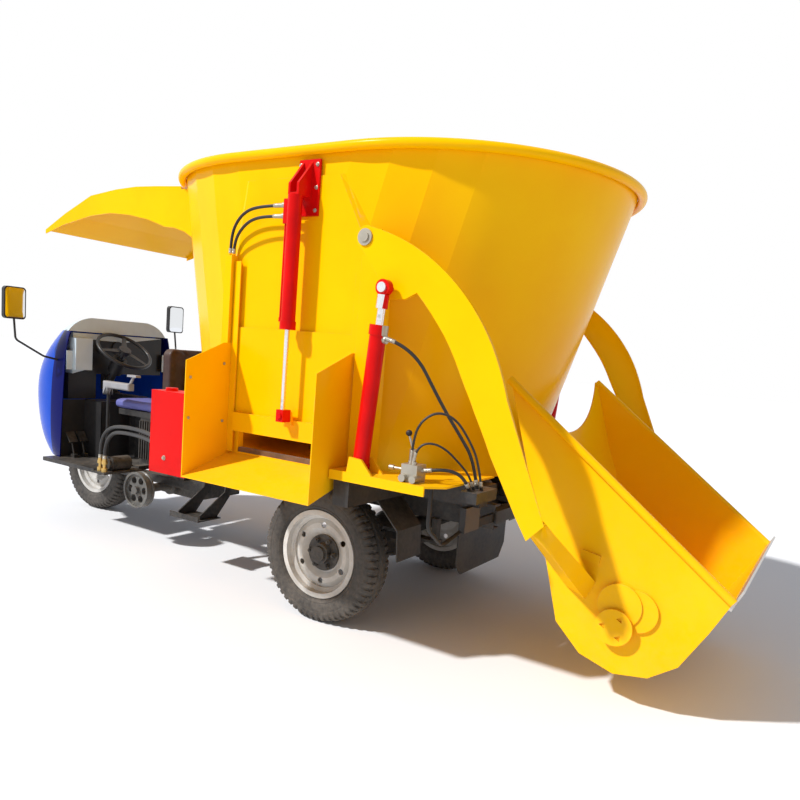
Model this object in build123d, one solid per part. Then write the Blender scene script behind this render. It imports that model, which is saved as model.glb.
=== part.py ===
from build123d import *
import math
import os

# A self-propelled feed mixer: a three-wheeled carrier with a vertical mixing tub, a side door with its chute,
# and a loading bucket on two curved arms behind. X is forward, Y is left, Z is up, in millimetres.
# Lengths are drawn from the rear axle, the machine's centre plane and the ground, and shifted at the end
# so that the origin lies on the ground below the middle of the whole machine.

# Wheels
WHEEL_R = 345.0
AXLE_Z = 345.0
WHEELBASE = 2680.0
TRACK_Y = 632.0
TYRE_HALF_W = 86.0
RIM_FLANGE_R = 221.5
BEAD_R = 203.0
RIM_HALF_W = 64.0
RIM_WALL = 6.0
WELL_R = 182.0
DISC_FACE_Y = 4.0
STUD_PCD_R = 72.0
STUDS = 6
HAND_HOLE_R = 15.0

# Tub
TUB_BOTTOM_Z = 800.0
TUB_TOP_Z = 2218.0
TUB_TOP_R = 919.0
TUB_TOP_REAR_X = -217.0
TUB_TOP_FRONT_X = 462.0
TUB_LOW_R = 917.0
TUB_LOW_X = 195.0
TUB_WALL = 8.0
TUB_FLOOR = 16.0
FACET_DEG = 12.0
RIM_TUBE_R = 22.0
SIDE_PLATE_T = 8.0

# Everything outside the tub's left and right walls is placed from the side plates' outer face
SEAT = 0.3
SIDE_PLATE_Y = TUB_TOP_R + SIDE_PLATE_T + SEAT
ARM_Y = SIDE_PLATE_Y + 80.0
ARM_PLATE = 16.0
ARM_FLANGE = 32.0
CYL_Y = ARM_Y + 54.0
LEDGE_OUT_Y = CYL_Y + 48.0
LEDGE_Z = (857.7, 865.7)
CHUTE_OUT_Y = SIDE_PLATE_Y + 294.0

# Door, chute and door guides
DOOR_X = (-309.0, 386.0)
DOOR_FOLD_X = (-289.0, 366.0)
DOOR_LOW_Z = 931.0
DOOR_HIGH_Z = 1425.0
DOOR_T = 6.0
OPEN_X = (-315.0, 355.0)
OPEN_Z = (828.0, 1270.0)
CHUTE_X = (-337.0, 414.0)
CHUTE_OUT_Z = 722.0
CHUTE_WALL = 5.0
GUIDE_TOP_Z = 1730.0
CHANNEL_TOP_Z = 1754.0
DOOR_CYL_X = 15.0
DOOR_CYL_Y = SIDE_PLATE_Y + 80.0

# Loading arms and bucket
PIVOT = (-377.0, 1816.0)
LUG_PIN = (-518.0, 1612.0)
BASE_PIN = (-467.0, 892.0)
PIN_R = 14.0
BUCKET_HALF_W = 603.0
BUCKET_WALL = 6.0
BUCKET_RAIL_R = 17.0

# Chassis
RAIL_Y = 300.0
RAIL_Z = (560.0, 680.0)
LOW_RAIL_Z = (395.0, 448.0)
RAIL_REAR_X = -760.0
RAIL_STEP_X = (1210.0, 1290.0)
CROSS_Z = (590.0, 650.0)
DECK_Z = (784.0, 799.7)

# Front end, placed from the front axle
RAKE_DEG = 14.0
CROWN = (WHEELBASE - 90.0, 0.0, 800.0)
FORK_TOP_X = WHEELBASE - 80.0
FORK_TOP_Z = 752.0
FORK_Y = 132.0
HEAD_Z = (790.0, 910.0)
FLOOR_X = (WHEELBASE - 690.0, WHEELBASE - 120.0)
FLOOR_Z = (448.3, 456.0)
COWL_X = WHEELBASE - 190.0
STEER_TILT_DEG = 35.0
STEER_C = (WHEELBASE - 340.0, 90.0, 1220.0)
STEER_R = 190.0
SEAT_X = WHEELBASE - 1030.0
SEAT_Y = (-210.0, 270.0)
SEAT_Z = (830.0, 900.0)
SEAT_TOP_Z = 1290.0
ENGINE_X = (1340.0, WHEELBASE - 720.0)
ENGINE_Y = 230.0
ENGINE_Z = (455.0, 790.0)
PULLEY = (1660.0, 430.0, 362.0)
PULLEY_R = 116.0
TANK_X = (720.0, 995.0)
TANK_Y = (SIDE_PLATE_Y - 138.0, SIDE_PLATE_Y + 2.0)
TANK_Z = (635.0, 1070.0)

# Where the middle of the whole machine lies, from its nose, its bucket's lip, its chute and its ledges
NOSE_REACH = 423.5
LIP_REACH = 1894.0
MID_X = (WHEELBASE + NOSE_REACH - LIP_REACH) / 2
MID_Y = (CHUTE_OUT_Y - LEDGE_OUT_Y) / 2


def box(x, y, z):
    """A block between pairs of limits along X, Y and Z."""
    size = (abs(x[1] - x[0]), abs(y[1] - y[0]), abs(z[1] - z[0]))
    return Pos((x[0] + x[1]) / 2, (y[0] + y[1]) / 2, (z[0] + z[1]) / 2) * Box(*size)


def side_plate(points, y0, y1):
    """A plate with a polygon outline in X and Z, between two Y values."""
    outline = Polyline(*[(x, 0, z) for x, z in points], close=True)
    return Pos(0, min(y0, y1), 0) * extrude(make_face(outline), abs(y1 - y0), dir=(0, 1, 0))


def curved_plate(edges, y0, y1):
    """A plate with an outline of lines and arcs drawn at Y = 0, between two Y values."""
    return Pos(0, min(y0, y1), 0) * extrude(make_face(edges), abs(y1 - y0), dir=(0, 1, 0))


def flat_plate(points, z0, z1):
    """A plate with a polygon outline in X and Y, between two heights."""
    outline = Polyline(*[(x, y, 0) for x, y in points], close=True)
    return Pos(0, 0, z0) * extrude(make_face(outline), z1 - z0, dir=(0, 0, 1))


def cross_plate(points, x0, x1):
    """A plate with a polygon outline in Y and Z, between two X values."""
    outline = Polyline(*[(0, y, z) for y, z in points], close=True)
    return Pos(min(x0, x1), 0, 0) * extrude(make_face(outline), abs(x1 - x0), dir=(1, 0, 0))


def rod(start, end, radius):
    """A round bar between two points."""
    a = Vector(*start)
    b = Vector(*end)
    plane = Plane(origin=a, z_dir=b - a)
    return plane * Cylinder(radius, (b - a).length, align=(Align.CENTER, Align.CENTER, Align.MIN))


def pipe(points, radius, bends):
    """A bent round bar along a route of straight runs, with one bend radius for each corner."""
    route = FilletPolyline(*points, radius=bends)
    start = Plane(origin=route @ 0, z_dir=route % 0)
    return sweep(start * Circle(radius), path=route)


def y_disc(x, y0, y1, z, radius):
    """A round disc or pin across the machine."""
    return rod((x, min(y0, y1), z), (x, max(y0, y1), z), radius)


def ring_section(points, centre=(0.0, 0.0)):
    """A closed ring about the Y axis from outline points of axial position and radius."""
    outline = Polyline(*[(0, y, r) for y, r in points], close=True)
    ring = revolve(make_face(outline), axis=Axis.Y, revolution_arc=360)
    return Pos(centre[0], 0, centre[1]) * ring


# Lift cylinder line: from its base pin to the arm's lug pin
lx, lz = LUG_PIN[0] - BASE_PIN[0], LUG_PIN[1] - BASE_PIN[1]
length = math.hypot(lx, lz)
ux, uz = lx / length, lz / length
BARREL_R = 34.0
ROD_R = 16.0
BARREL_END = 560.0
LIFT_PORT_D = 543.0


def along(d, y):
    """A point on the lift cylinder's line, a distance from its base pin."""
    return (BASE_PIN[0] + ux * d, y, BASE_PIN[1] + uz * d)


# Hoses: black rubber, each with its diameter and the points of its route, ending on fittings
HOSE_PORT_Z = (1962.0, 1916.0)
PORT_END_X = DOOR_CYL_X + 103.0
PORT_Y = DOOR_CYL_Y - 7.0
GUIDE_Y = SIDE_PLATE_Y + 24.4
GUIDE_END_Z = CHANNEL_TOP_Z + 12.0
BLOCK_END_Z = 856.0
PUMP_X = WHEELBASE - 815.0
ELBOWS = ((PUMP_X + 30.0, 580.0), (PUMP_X - 27.0, 590.0))
ELBOW_TOP_Z = 545.0
TANK_END_X = TANK_X[1] + 14.0
lift_x, _, lift_z = along(LIFT_PORT_D - 25, CYL_Y)
HOSES = {
    "door_hose_upper": (14.0, (
        (PORT_END_X, PORT_Y, HOSE_PORT_Z[0]), (215, 999, 1963), (315, 992, 1949), (390, 978, 1902),
        (434, 962, 1836), (444, GUIDE_Y, GUIDE_END_Z))),
    "door_hose_lower": (14.0, (
        (PORT_END_X, PORT_Y, HOSE_PORT_Z[1]), (205, 1001, 1918), (290, 996, 1902), (360, 982, 1862),
        (408, 964, 1812), (423, GUIDE_Y, GUIDE_END_Z))),
    "lift_hose": (14.0, (
        (lift_x - 62, CYL_Y, lift_z), (lift_x - 112, 1052, lift_z - 14), (-682, 1015, 1335),
        (-722, 975, 1245), (-768, 935, 1150), (-825, 890, 1050), (-872, 850, 960), (-884, 825, BLOCK_END_Z))),
    "valve_hose_long": (10.0, (
        (-700, 1050, 966), (-702, 1050, 1040), (-725, 1040, 1108), (-780, 1010, 1150),
        (-840, 970, 1125), (-880, 925, 1050), (-910, 880, 960), (-915, 845, BLOCK_END_Z))),
    "valve_hose_short": (9.0, (
        (-724, 1068, 962), (-732, 1066, 1006), (-775, 1047, 1030), (-822, 1007, 1010),
        (-858, 952, 956), (-884, 895, 900), (-890, 872, BLOCK_END_Z))),
    "valve_hose_thick": (14.0, (
        (-764, 1035, 916), (-806, 1026, 924), (-850, 988, 924), (-882, 944, 898), (-888, 908, BLOCK_END_Z))),
    "tank_hose_upper": (24.0, (
        (ELBOWS[0][0], ELBOWS[0][1], ELBOW_TOP_Z), (1894, 580, 632), (1858, 584, 706), (1780, 592, 756),
        (1660, 610, 776), (1520, 640, 784), (1370, 682, 788), (1220, 738, 788), (1100, 790, 786),
        (TANK_END_X, 832, 778))),
    "tank_hose_lower": (24.0, (
        (ELBOWS[1][0], ELBOWS[1][1], ELBOW_TOP_Z), (1837, 590, 617), (1804, 592, 684), (1743, 598, 727),
        (1645, 614, 741), (1520, 638, 748), (1380, 678, 752), (1240, 728, 752), (1110, 787, 748),
        (TANK_END_X, 832, 738))),
}


def fitting(name, end, length):
    """The stub a hose ends on, in line with its last run; end 0 is the route's start, 1 is its end."""
    diameter, points = HOSES[name]
    a, b = (points[0], points[1]) if end == 0 else (points[-1], points[-2])
    tip = Vector(*a)
    outwards = (tip - Vector(*b)).normalized()
    far = tip + outwards * length
    return rod(tuple(tip), tuple(far), diameter / 2 + 2.5)


def hose(name):
    """A hose along its route, each corner rounded to 0.45 of its shorter run; prints bends and length."""
    diameter, points = HOSES[name]
    places = [Vector(*p) for p in points]
    radii = []
    for before, here, after in zip(places, places[1:], places[2:]):
        run_in = here - before
        run_out = after - here
        half_turn = math.radians(run_in.get_angle(run_out)) / 2
        radii.append(0.45 * min(run_in.length, run_out.length) / math.tan(half_turn))
    route = FilletPolyline(*points, radius=radii)
    print(f"{name} diameter {diameter:.0f}, tightest bend {min(radii):.0f}, length {route.length:.0f}")
    start = Plane(origin=route @ 0, z_dir=route % 0)
    return sweep(start * Circle(diameter / 2), path=route)


os.makedirs("parts", exist_ok=True)


def save(name, *shapes):
    """Writes one node, its solids side by side or as one."""
    solids = []
    for shape in shapes:
        items = shape if isinstance(shape, (list, tuple)) else [shape]
        for item in items:
            solids.extend(item.solids())
    whole = Compound(children=[s.moved(Location((-MID_X, -MID_Y, 0))) for s in solids])
    node = whole.solids()[0] if len(solids) == 1 else whole
    export_step(node, f"parts/{name}.step")
    low = node.bounding_box().min
    high = node.bounding_box().max
    print(f"{name:24s} solids {len(solids):3d}  x {low.X:8.1f} {high.X:8.1f}"
          f"  y {low.Y:8.1f} {high.Y:8.1f}  z {low.Z:7.1f} {high.Z:7.1f}")


# Wheels: each a tyre, and a pressed rim with its dished disc beside a hub with studs and nuts
def tyre():
    """A hollow tyre about the Y axis, its beads just inside the rim's flanges."""
    bead = (RIM_HALF_W - 0.3, BEAD_R + 0.3)
    wall = ((TYRE_HALF_W, 262), (TYRE_HALF_W, 296), (74, 328), (40, 343))
    lining = ((50, 203.3), (50, 228), (74, 266), (74, 292), (62, 316), (34, 329))
    side = [bead, (bead[0], 224)] + list(wall)
    outer = [(-y, r) for y, r in side] + [(0, WHEEL_R)] + side[::-1]
    inner = list(lining) + [(0, 331)] + [(-y, r) for y, r in lining[::-1]]
    return ring_section(outer + inner)


def rim(side):
    """Flanges, bead seats and well, with the disc's bowl and its holes; side is where the studs point."""
    t = RIM_WALL
    w = RIM_HALF_W
    half = ((w + t, RIM_FLANGE_R), (w, RIM_FLANGE_R), (w, BEAD_R), (42, BEAD_R - 2), (34, WELL_R))
    under = ((34 - t / 2, WELL_R - t), (42 - t / 2, BEAD_R - 2 - t), (w + t, BEAD_R - t))
    section = [(-y, r) for y, r in half] + list(half[::-1]) + list(under[::-1]) + [(-y, r) for y, r in under]
    hoop = ring_section(section)
    y = DISC_FACE_Y * side
    d = 7.0 * side
    face = ((y, 46), (y + d, 46), (y + d, 100), (y + 4 * d, 128), (y + 4 * d, 150), (y + 2 * d, WELL_R - t))
    back = ((y + d, WELL_R - t), (y + 3 * d, 150), (y + 3 * d, 124), (y, 96))
    wheel = hoop + ring_section(face + back)
    for k in range(STUDS):
        a = 2 * math.pi * (k + 0.5) / STUDS
        wheel -= Pos(142 * math.cos(a), 0, 142 * math.sin(a)) * Rot(90, 0, 0) * Cylinder(HAND_HOLE_R, 160)
    return wheel


def hub(side, spindle_r):
    """The wheel hub's flange, cap, studs and nuts; a spindle's radius leaves a bore through it."""
    y = (DISC_FACE_Y + 7.3) * side
    body = y_disc(0, y, y + 12 * side, 0, 92) + y_disc(0, y + 11 * side, y + 46 * side, 0, 52)
    body += y_disc(0, y + 45 * side, y + 58 * side, 0, 38) + y_disc(0, y + side, y - 60 * side, 0, 44)
    for k in range(STUDS):
        a = 2 * math.pi * k / STUDS
        x = STUD_PCD_R * math.cos(a)
        z = STUD_PCD_R * math.sin(a)
        body += Pos(x, y + 20 * side, z) * Rot(90, 0, 0) * extrude(RegularPolygon(13, 6), 9, both=True)
        body += y_disc(x, y, y + 38 * side, z, 7)
    if spindle_r:
        body -= y_disc(0, -200, 200, 0, spindle_r)
    return body


SPINDLE_R = 15.0
WHEELS = (("rear_left", (0, TRACK_Y, AXLE_Z), 1, 0), ("rear_right", (0, -TRACK_Y, AXLE_Z), -1, 0),
          ("front", (WHEELBASE, 0, AXLE_Z), 1, SPINDLE_R + 0.1))
for name, centre, side, spindle in WHEELS:
    place = Location(centre)
    save(f"tyre_{name}", tyre().moved(place))
    save(f"wheel_{name}", rim(side).moved(place), hub(side, spindle).moved(place))

# Front fork: two legs with coil springs, held by a crown whose steering axis leans back
RAKE = math.radians(RAKE_DEG)
LEG_R = 19.0
STEM_R = 24.0
SPRING = (0.30, 0.070, 9)


def steer_point(z):
    """A point of the steering axis at a height."""
    return (CROWN[0] - (z - CROWN[2]) * math.tan(RAKE), 0, z)


crown_x = (WHEELBASE - 160, WHEELBASE)
fork = box(crown_x, (-FORK_Y - 33, FORK_Y + 33), (742, 766)) + rod(steer_point(760), steer_point(960), STEM_R)
lean = math.degrees(math.atan2(WHEELBASE - FORK_TOP_X, FORK_TOP_Z - AXLE_Z))
for s in (1, -1):
    fork += rod((WHEELBASE, s * FORK_Y, AXLE_Z), (FORK_TOP_X, s * FORK_Y, FORK_TOP_Z), LEG_R)
    fork += y_disc(WHEELBASE, s * (FORK_Y - 24), s * (FORK_Y + 24), AXLE_Z, 36)
    for k in range(SPRING[2]):
        f = SPRING[0] + SPRING[1] * k
        x = WHEELBASE + (FORK_TOP_X - WHEELBASE) * f
        z = AXLE_Z + (FORK_TOP_Z - AXLE_Z) * f
        fork += Pos(x, s * FORK_Y, z) * Rot(8 * s, -lean, 0) * Torus(LEG_R + 6, 6.5)
fork += y_disc(WHEELBASE, -FORK_Y, FORK_Y, AXLE_Z, SPINDLE_R)
save("front_fork", fork)

# Chassis frame: two channel rails that step down under the cab, cross members, and the steering head's neck
neck_x = (WHEELBASE - 440, WHEELBASE - 370)
frame = rod(steer_point(HEAD_Z[0]), steer_point(HEAD_Z[1]), STEM_R + 18)
frame += box(neck_x, (-50, 50), (430, 900)) + box((neck_x[0], WHEELBASE - 110), (-40, 40), (835, 900))
frame += box((neck_x[0] + 10, neck_x[1]), (-RAIL_Y, RAIL_Y), (LOW_RAIL_Z[0] + 4, LOW_RAIL_Z[1] - 4))
for s in (1, -1):
    rail_y = (s * (RAIL_Y - 30), s * (RAIL_Y + 30))
    rail = box((RAIL_REAR_X, RAIL_STEP_X[1]), rail_y, RAIL_Z)
    rail -= box((RAIL_REAR_X - 10, RAIL_STEP_X[1] + 10), (s * (RAIL_Y - 40), s * (RAIL_Y + 23)),
                (RAIL_Z[0] + 8, RAIL_Z[1] - 8))
    rail += box(RAIL_STEP_X, rail_y, (LOW_RAIL_Z[0], RAIL_Z[1]))
    rail += box((RAIL_STEP_X[1] - 10, neck_x[1]), rail_y, LOW_RAIL_Z)
    frame += rail
for x in (RAIL_REAR_X + 20, -300, 480, 860, RAIL_STEP_X[1] - 40):
    frame += box((x - 30, x + 30), (-RAIL_Y - 25, RAIL_Y + 25), CROSS_Z)
frame -= rod(steer_point(HEAD_Z[0] - 60), steer_point(HEAD_Z[1] + 60), STEM_R + 0.08)
HITCH_HOLE_R = 8.5
HITCH_Y = 60.0
HITCH_Z = (605.0, 635.0)
for s in (1, -1):
    for z in HITCH_Z:
        frame -= rod((RAIL_REAR_X - 20, s * HITCH_Y, z), (RAIL_REAR_X + 60, s * HITCH_Y, z), HITCH_HOLE_R)
# A step hung from the left rail, and the shield across the frame behind the axle, both welded on
STEP_Z = (300.0, 306.0)
frame += box((960, 1200), (420, 600), STEP_Z) + box((960, 1200), (594, 600), (300, 330))
for x in (985, 1165):
    frame += cross_plate([(RAIL_Y + 29, 640), (RAIL_Y + 45, 640), (RAIL_Y + 70, 450), (560, 330), (560, 303),
                         (430, 303), (RAIL_Y + 29, 420)], x, x + 8)
SHIELD_X = (-518.0, -512.0)
SHIELD = ((-400, 320), (-340, 240), (140, 240), (200, 300), (200, 690), (-262, 690), (-262, 552), (-400, 552))
frame += cross_plate(SHIELD, *SHIELD_X)
for y0 in (-200, 100):
    frame += box((RAIL_REAR_X + 49, SHIELD_X[0] + 1), (y0, y0 + 30), (605, 635))
    frame += box((SHIELD_X[1] - 1, -500), (y0 - 5, y0 + 35), (260, 660))
save("chassis_frame", frame)

# Rear axle with its differential housing and leaf springs
AXLE_END_Y = 582.5
AXLE_TUBE_R = 46.0
HOUSING = ((-190, AXLE_TUBE_R), (-150, 70), (-90, 118), (-30, 132), (50, 132), (110, 112), (160, 70),
           (200, AXLE_TUBE_R))
axle = ring_section([(-AXLE_END_Y, 0), (-AXLE_END_Y, AXLE_TUBE_R)] + list(HOUSING)
                    + [(AXLE_END_Y, AXLE_TUBE_R), (AXLE_END_Y, 0)], (0, AXLE_Z))
axle += rod((90, 10, AXLE_Z), (235, 10, AXLE_Z), 58)
save("rear_axle", axle)
leaves = []
SPRING_Y = 335.0
LEAVES = ((480, 410), (400, 398), (310, 386), (210, 374))
for s in (1, -1):
    pack = box((-60, 60), (s * SPRING_Y - 40, s * SPRING_Y + 40), (AXLE_Z + 46.3, AXLE_Z + 60))
    for half, z in LEAVES:
        leaf_y = (s * SPRING_Y - 32, s * SPRING_Y + 32)
        pack += box((-half, half), leaf_y, (AXLE_Z + z - 318, AXLE_Z + z - 306))
    for x in (-470, 440):
        pack += box((x, x + 30), (s * SPRING_Y - 20, s * SPRING_Y + 20), (AXLE_Z + 100, RAIL_Z[0] - SEAT))
    leaves.append(pack)
save("leaf_springs", leaves)


# Tub: an oblique shell from a round floor to a longer open rim; its ends are rolled, with three braked
# folds where each meets the flat sides
def tub_outline(z, inset):
    """The tub's outline at a height, drawn inwards by a wall: straight sides, three chords a corner, arcs."""
    f = (z - TUB_BOTTOM_Z) / (TUB_TOP_Z - TUB_BOTTOM_Z)
    rear = TUB_LOW_X + (TUB_TOP_REAR_X - TUB_LOW_X) * f - 2
    front = TUB_LOW_X + (TUB_TOP_FRONT_X - TUB_LOW_X) * f + 2
    r = TUB_LOW_R + (TUB_TOP_R - TUB_LOW_R) * f - inset
    turns = [math.radians(FACET_DEG * k) for k in range(4)]
    corner = [(r * math.sin(t), r * math.cos(t)) for t in turns]
    edges = []
    for cx, end in ((front, 1), (rear, -1)):
        here = [(cx + end * dx, end * dy, z) for dx, dy in corner]
        there = [(cx + end * dx, -end * dy, z) for dx, dy in corner[::-1]]
        edges += [Line(a, b) for a, b in zip(here, here[1:])]
        edges.append(ThreePointArc(here[-1], (cx + end * r, 0, z), there[0]))
        edges += [Line(a, b) for a, b in zip(there, there[1:])]
        other = rear if end == 1 else front
        edges.append(Line(there[-1], (other, -end * r, z)))
    return Wire(edges)


def tub_solid(z0, z1, inset):
    """The tub's body between two heights as a ruled loft."""
    return Solid.make_loft([tub_outline(z0, inset), tub_outline(z1, inset)], True)


shell = tub_solid(TUB_BOTTOM_Z, TUB_TOP_Z, 0) - tub_solid(TUB_BOTTOM_Z + TUB_FLOOR, TUB_TOP_Z + 40, TUB_WALL)
shell = shell.cut(box(OPEN_X, (TUB_LOW_R - 217, SIDE_PLATE_Y + 70), OPEN_Z))
GEAR_HOLE_R = 150.0
shell = shell.cut(Pos(TUB_LOW_X, 0, TUB_BOTTOM_Z) * Cylinder(GEAR_HOLE_R, 60))
save("tub", shell)
RIM_TUBE_C = TUB_TOP_R + RIM_TUBE_R + SEAT
RIM_TUBE_Z = TUB_TOP_Z - 12
ends = ((TUB_TOP_REAR_X, 90), (TUB_TOP_FRONT_X, -90))
rolled = rod((ends[0][0], RIM_TUBE_C, RIM_TUBE_Z), (ends[1][0], RIM_TUBE_C, RIM_TUBE_Z), RIM_TUBE_R)
rolled += rod((ends[0][0], -RIM_TUBE_C, RIM_TUBE_Z), (ends[1][0], -RIM_TUBE_C, RIM_TUBE_Z), RIM_TUBE_R)
for x, a0 in ends:
    half = revolve(Plane.XZ * Pos(RIM_TUBE_C, 0) * Circle(RIM_TUBE_R), axis=Axis.Z, revolution_arc=180)
    rolled += Pos(x, 0, RIM_TUBE_Z) * Rot(0, 0, a0) * half
save("tub_rim", rolled)

# Side plates: flat plates with edge webs down to the shell; the left one frames the door's throat
PLATE_X = (-345.0, 470.0)
PLATE_SHOULDER_Z = 1760.0
PLATE_TOP_Z = TUB_TOP_Z - 120.0


def side_box(y_sign, with_door):
    """A flat side plate with its edge webs, trimmed to the shell behind it."""
    y_in = (TUB_LOW_R - 217) * y_sign
    y_out = SIDE_PLATE_Y * y_sign
    outline = [(PLATE_X[0], TUB_BOTTOM_Z), (PLATE_X[1], TUB_BOTTOM_Z), (PLATE_X[1], PLATE_SHOULDER_Z - 300),
               (TUB_TOP_FRONT_X - 90, PLATE_TOP_Z), (TUB_TOP_REAR_X + 60, PLATE_TOP_Z),
               (PLATE_X[0], PLATE_SHOULDER_Z)]
    plate = side_plate(outline, y_out - SIDE_PLATE_T * y_sign, y_out)
    for x, top in ((PLATE_X[0], PLATE_SHOULDER_Z), (PLATE_X[1] - SIDE_PLATE_T, PLATE_SHOULDER_Z - 300)):
        plate += box((x, x + SIDE_PLATE_T), (y_in, y_out), (TUB_BOTTOM_Z, top))
    if with_door:
        ring_x = (OPEN_X[0] - SIDE_PLATE_T, OPEN_X[1] + SIDE_PLATE_T)
        plate += box(ring_x, (y_in, y_out), (OPEN_Z[0] - SIDE_PLATE_T, OPEN_Z[1] + SIDE_PLATE_T))
        plate -= box(OPEN_X, (y_in - 10 * y_sign, y_out + 10 * y_sign), OPEN_Z)
    return plate - tub_solid(TUB_BOTTOM_Z - 1, TUB_TOP_Z, -SEAT)


save("side_plates", side_box(1, True), side_box(-1, False))

# Door guides: an angle on each side of the door, a hose channel in front of them, and a short stiffener
y = SIDE_PLATE_Y + SEAT
lip_y = (y + 18, y + 23.7)
guides = []
for x0, x1, lip_x in ((392.0, 408.7, 372.0), (-331.7, -315.0, -295.0)):
    angle = box((x0, x1), (y, lip_y[1]), (OPEN_Z[0], GUIDE_TOP_Z))
    guides.append(angle + box((min(x0, lip_x), max(x1, lip_x)), lip_y, (OPEN_Z[0], GUIDE_TOP_Z)))
channel = box((414.3, 458), (y, y + 44), (OPEN_Z[0], CHANNEL_TOP_Z))
channel -= box((422, 450), (y - 10, y + 36), (OPEN_Z[0] - 10, CHANNEL_TOP_Z - 6))
guides.append(channel + fitting("door_hose_upper", 1, 15) + fitting("door_hose_lower", 1, 15))
save("door_guides", guides)

# Door: a flat panel with a folded lower edge that slides up between the guides
y = SIDE_PLATE_Y
panel_y = (y + 6, y + 6 + DOOR_T)
fold_y = (panel_y[1] - 1, y + 36)
FOLD_H = 90.0
door = box(DOOR_X, panel_y, (DOOR_LOW_Z, DOOR_HIGH_Z))
door += box(DOOR_FOLD_X, fold_y, (DOOR_LOW_Z, DOOR_LOW_Z + DOOR_T))
door += box(DOOR_FOLD_X, fold_y, (DOOR_LOW_Z + FOLD_H - DOOR_T, DOOR_LOW_Z + FOLD_H))
door += box(DOOR_FOLD_X, (y + 30, y + 36), (DOOR_LOW_Z, DOOR_LOW_Z + FOLD_H))
lug = [(DOOR_CYL_X - 30, 1000), (DOOR_CYL_X + 30, 1000), (DOOR_CYL_X + 18, 1062), (DOOR_CYL_X - 18, 1062)]
door += side_plate(lug, y + 35, y + 47)
save("door", door)
door_rod = rod((DOOR_CYL_X, DOOR_CYL_Y, 1040), (DOOR_CYL_X, DOOR_CYL_Y, 1620), 11)
clevis = box((DOOR_CYL_X - 20, DOOR_CYL_X + 20), (y + 47.3, DOOR_CYL_Y + 20), (1015, 1070))
door_rod += clevis + y_disc(DOOR_CYL_X, y + 47.3, DOOR_CYL_Y + 28, 1042, 13)
save("door_rod", door_rod)

# Door cylinder, hung from a red bracket whose curved gusset stands on a bolted plate
barrel = rod((DOOR_CYL_X, DOOR_CYL_Y, 1431), (DOOR_CYL_X, DOOR_CYL_Y, 2000), 32)
barrel += rod((DOOR_CYL_X, DOOR_CYL_Y, 1425), (DOOR_CYL_X, DOOR_CYL_Y, 1462), 36)
barrel -= rod((DOOR_CYL_X, DOOR_CYL_Y, 1400), (DOOR_CYL_X, DOOR_CYL_Y, 1970), 12)
barrel += rod((DOOR_CYL_X + 44, DOOR_CYL_Y, 1470), (DOOR_CYL_X + 44, DOOR_CYL_Y, 1890), 7)
barrel += box((DOOR_CYL_X + 20, DOOR_CYL_X + 50), (DOOR_CYL_Y - 7, DOOR_CYL_Y + 7), (1458, 1476))
barrel += box((DOOR_CYL_X + 20, DOOR_CYL_X + 52), (DOOR_CYL_Y - 14, DOOR_CYL_Y + 14), (1880, 1985))
for k, z in enumerate(HOSE_PORT_Z):
    barrel += fitting(("door_hose_upper", "door_hose_lower")[k], 0, 60)
    barrel += rod((DOOR_CYL_X + 51, PORT_Y, z), (DOOR_CYL_X + 70, PORT_Y, z), 13)
save("door_cylinder", barrel)
BRACKET_TOP_Z = TUB_TOP_Z - 53.0
bracket = box((-55, 60), (y + SEAT, y + 12), (1925, BRACKET_TOP_Z))
gusset_y = (y + 11, DOOR_CYL_Y + 16)
corner = Line((0, gusset_y[0], 2000.3), (0, gusset_y[1], 2000.3))
nose = Line((0, gusset_y[1], 2000.3), (0, gusset_y[1], 2050))
sweep_up = ThreePointArc((0, gusset_y[1], 2050), (0, y + 50, 2105), (0, gusset_y[0], BRACKET_TOP_Z - 10))
back = Line((0, gusset_y[0], BRACKET_TOP_Z - 10), (0, gusset_y[0], 2000.3))
for x in (DOOR_CYL_X - 30, DOOR_CYL_X + 18):
    bracket += Pos(x, 0, 0) * extrude(make_face([corner, nose, sweep_up, back]), 12, dir=(1, 0, 0))
bracket += box((DOOR_CYL_X - 30, DOOR_CYL_X + 30), (y + 11, DOOR_CYL_Y + 16), (2000.3, 2010))
save("door_cylinder_bracket", bracket)

# Chute: a sloping floor and two upright end walls outside the door
y = SIDE_PLATE_Y + SEAT
CHUTE_IN_Z = 815.0
wall_shape = [(y, CHUTE_IN_Z), (CHUTE_OUT_Y, CHUTE_OUT_Z), (CHUTE_OUT_Y, 1255), (y + 70, 1345), (y, 1350)]
floor_shape = [(y, CHUTE_IN_Z), (CHUTE_OUT_Y, CHUTE_OUT_Z), (CHUTE_OUT_Y, CHUTE_OUT_Z + 6),
               (y, CHUTE_IN_Z + 6)]
chute = cross_plate(floor_shape, *CHUTE_X)
chute += cross_plate(wall_shape, CHUTE_X[0], CHUTE_X[0] + CHUTE_WALL)
chute += cross_plate(wall_shape, CHUTE_X[1] - CHUTE_WALL, CHUTE_X[1])
save("chute", chute)

# Mixing auger: a round core, tapering flighting as a ruled strip of radial sections, and its knives
AUGER_LOW_Z = 838.0
AUGER_TOP_Z = 1880.0
AUGER_TURNS = 2.0
AUGER_PITCH = 430.0
FLIGHT_R = (800.0, 280.0)
FLIGHT_T = 12.0
CORE_R = 105.0
STEPS = 32
KNIVES = (0.06, 0.22, 0.38, 0.54, 0.70)


def flight_at(f):
    """Angle, height and radius of the flighting's edge at a fraction of its length."""
    a = 2 * math.pi * AUGER_TURNS * f
    return a, AUGER_LOW_Z + AUGER_PITCH * AUGER_TURNS * f, FLIGHT_R[0] + (FLIGHT_R[1] - FLIGHT_R[0]) * f


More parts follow.
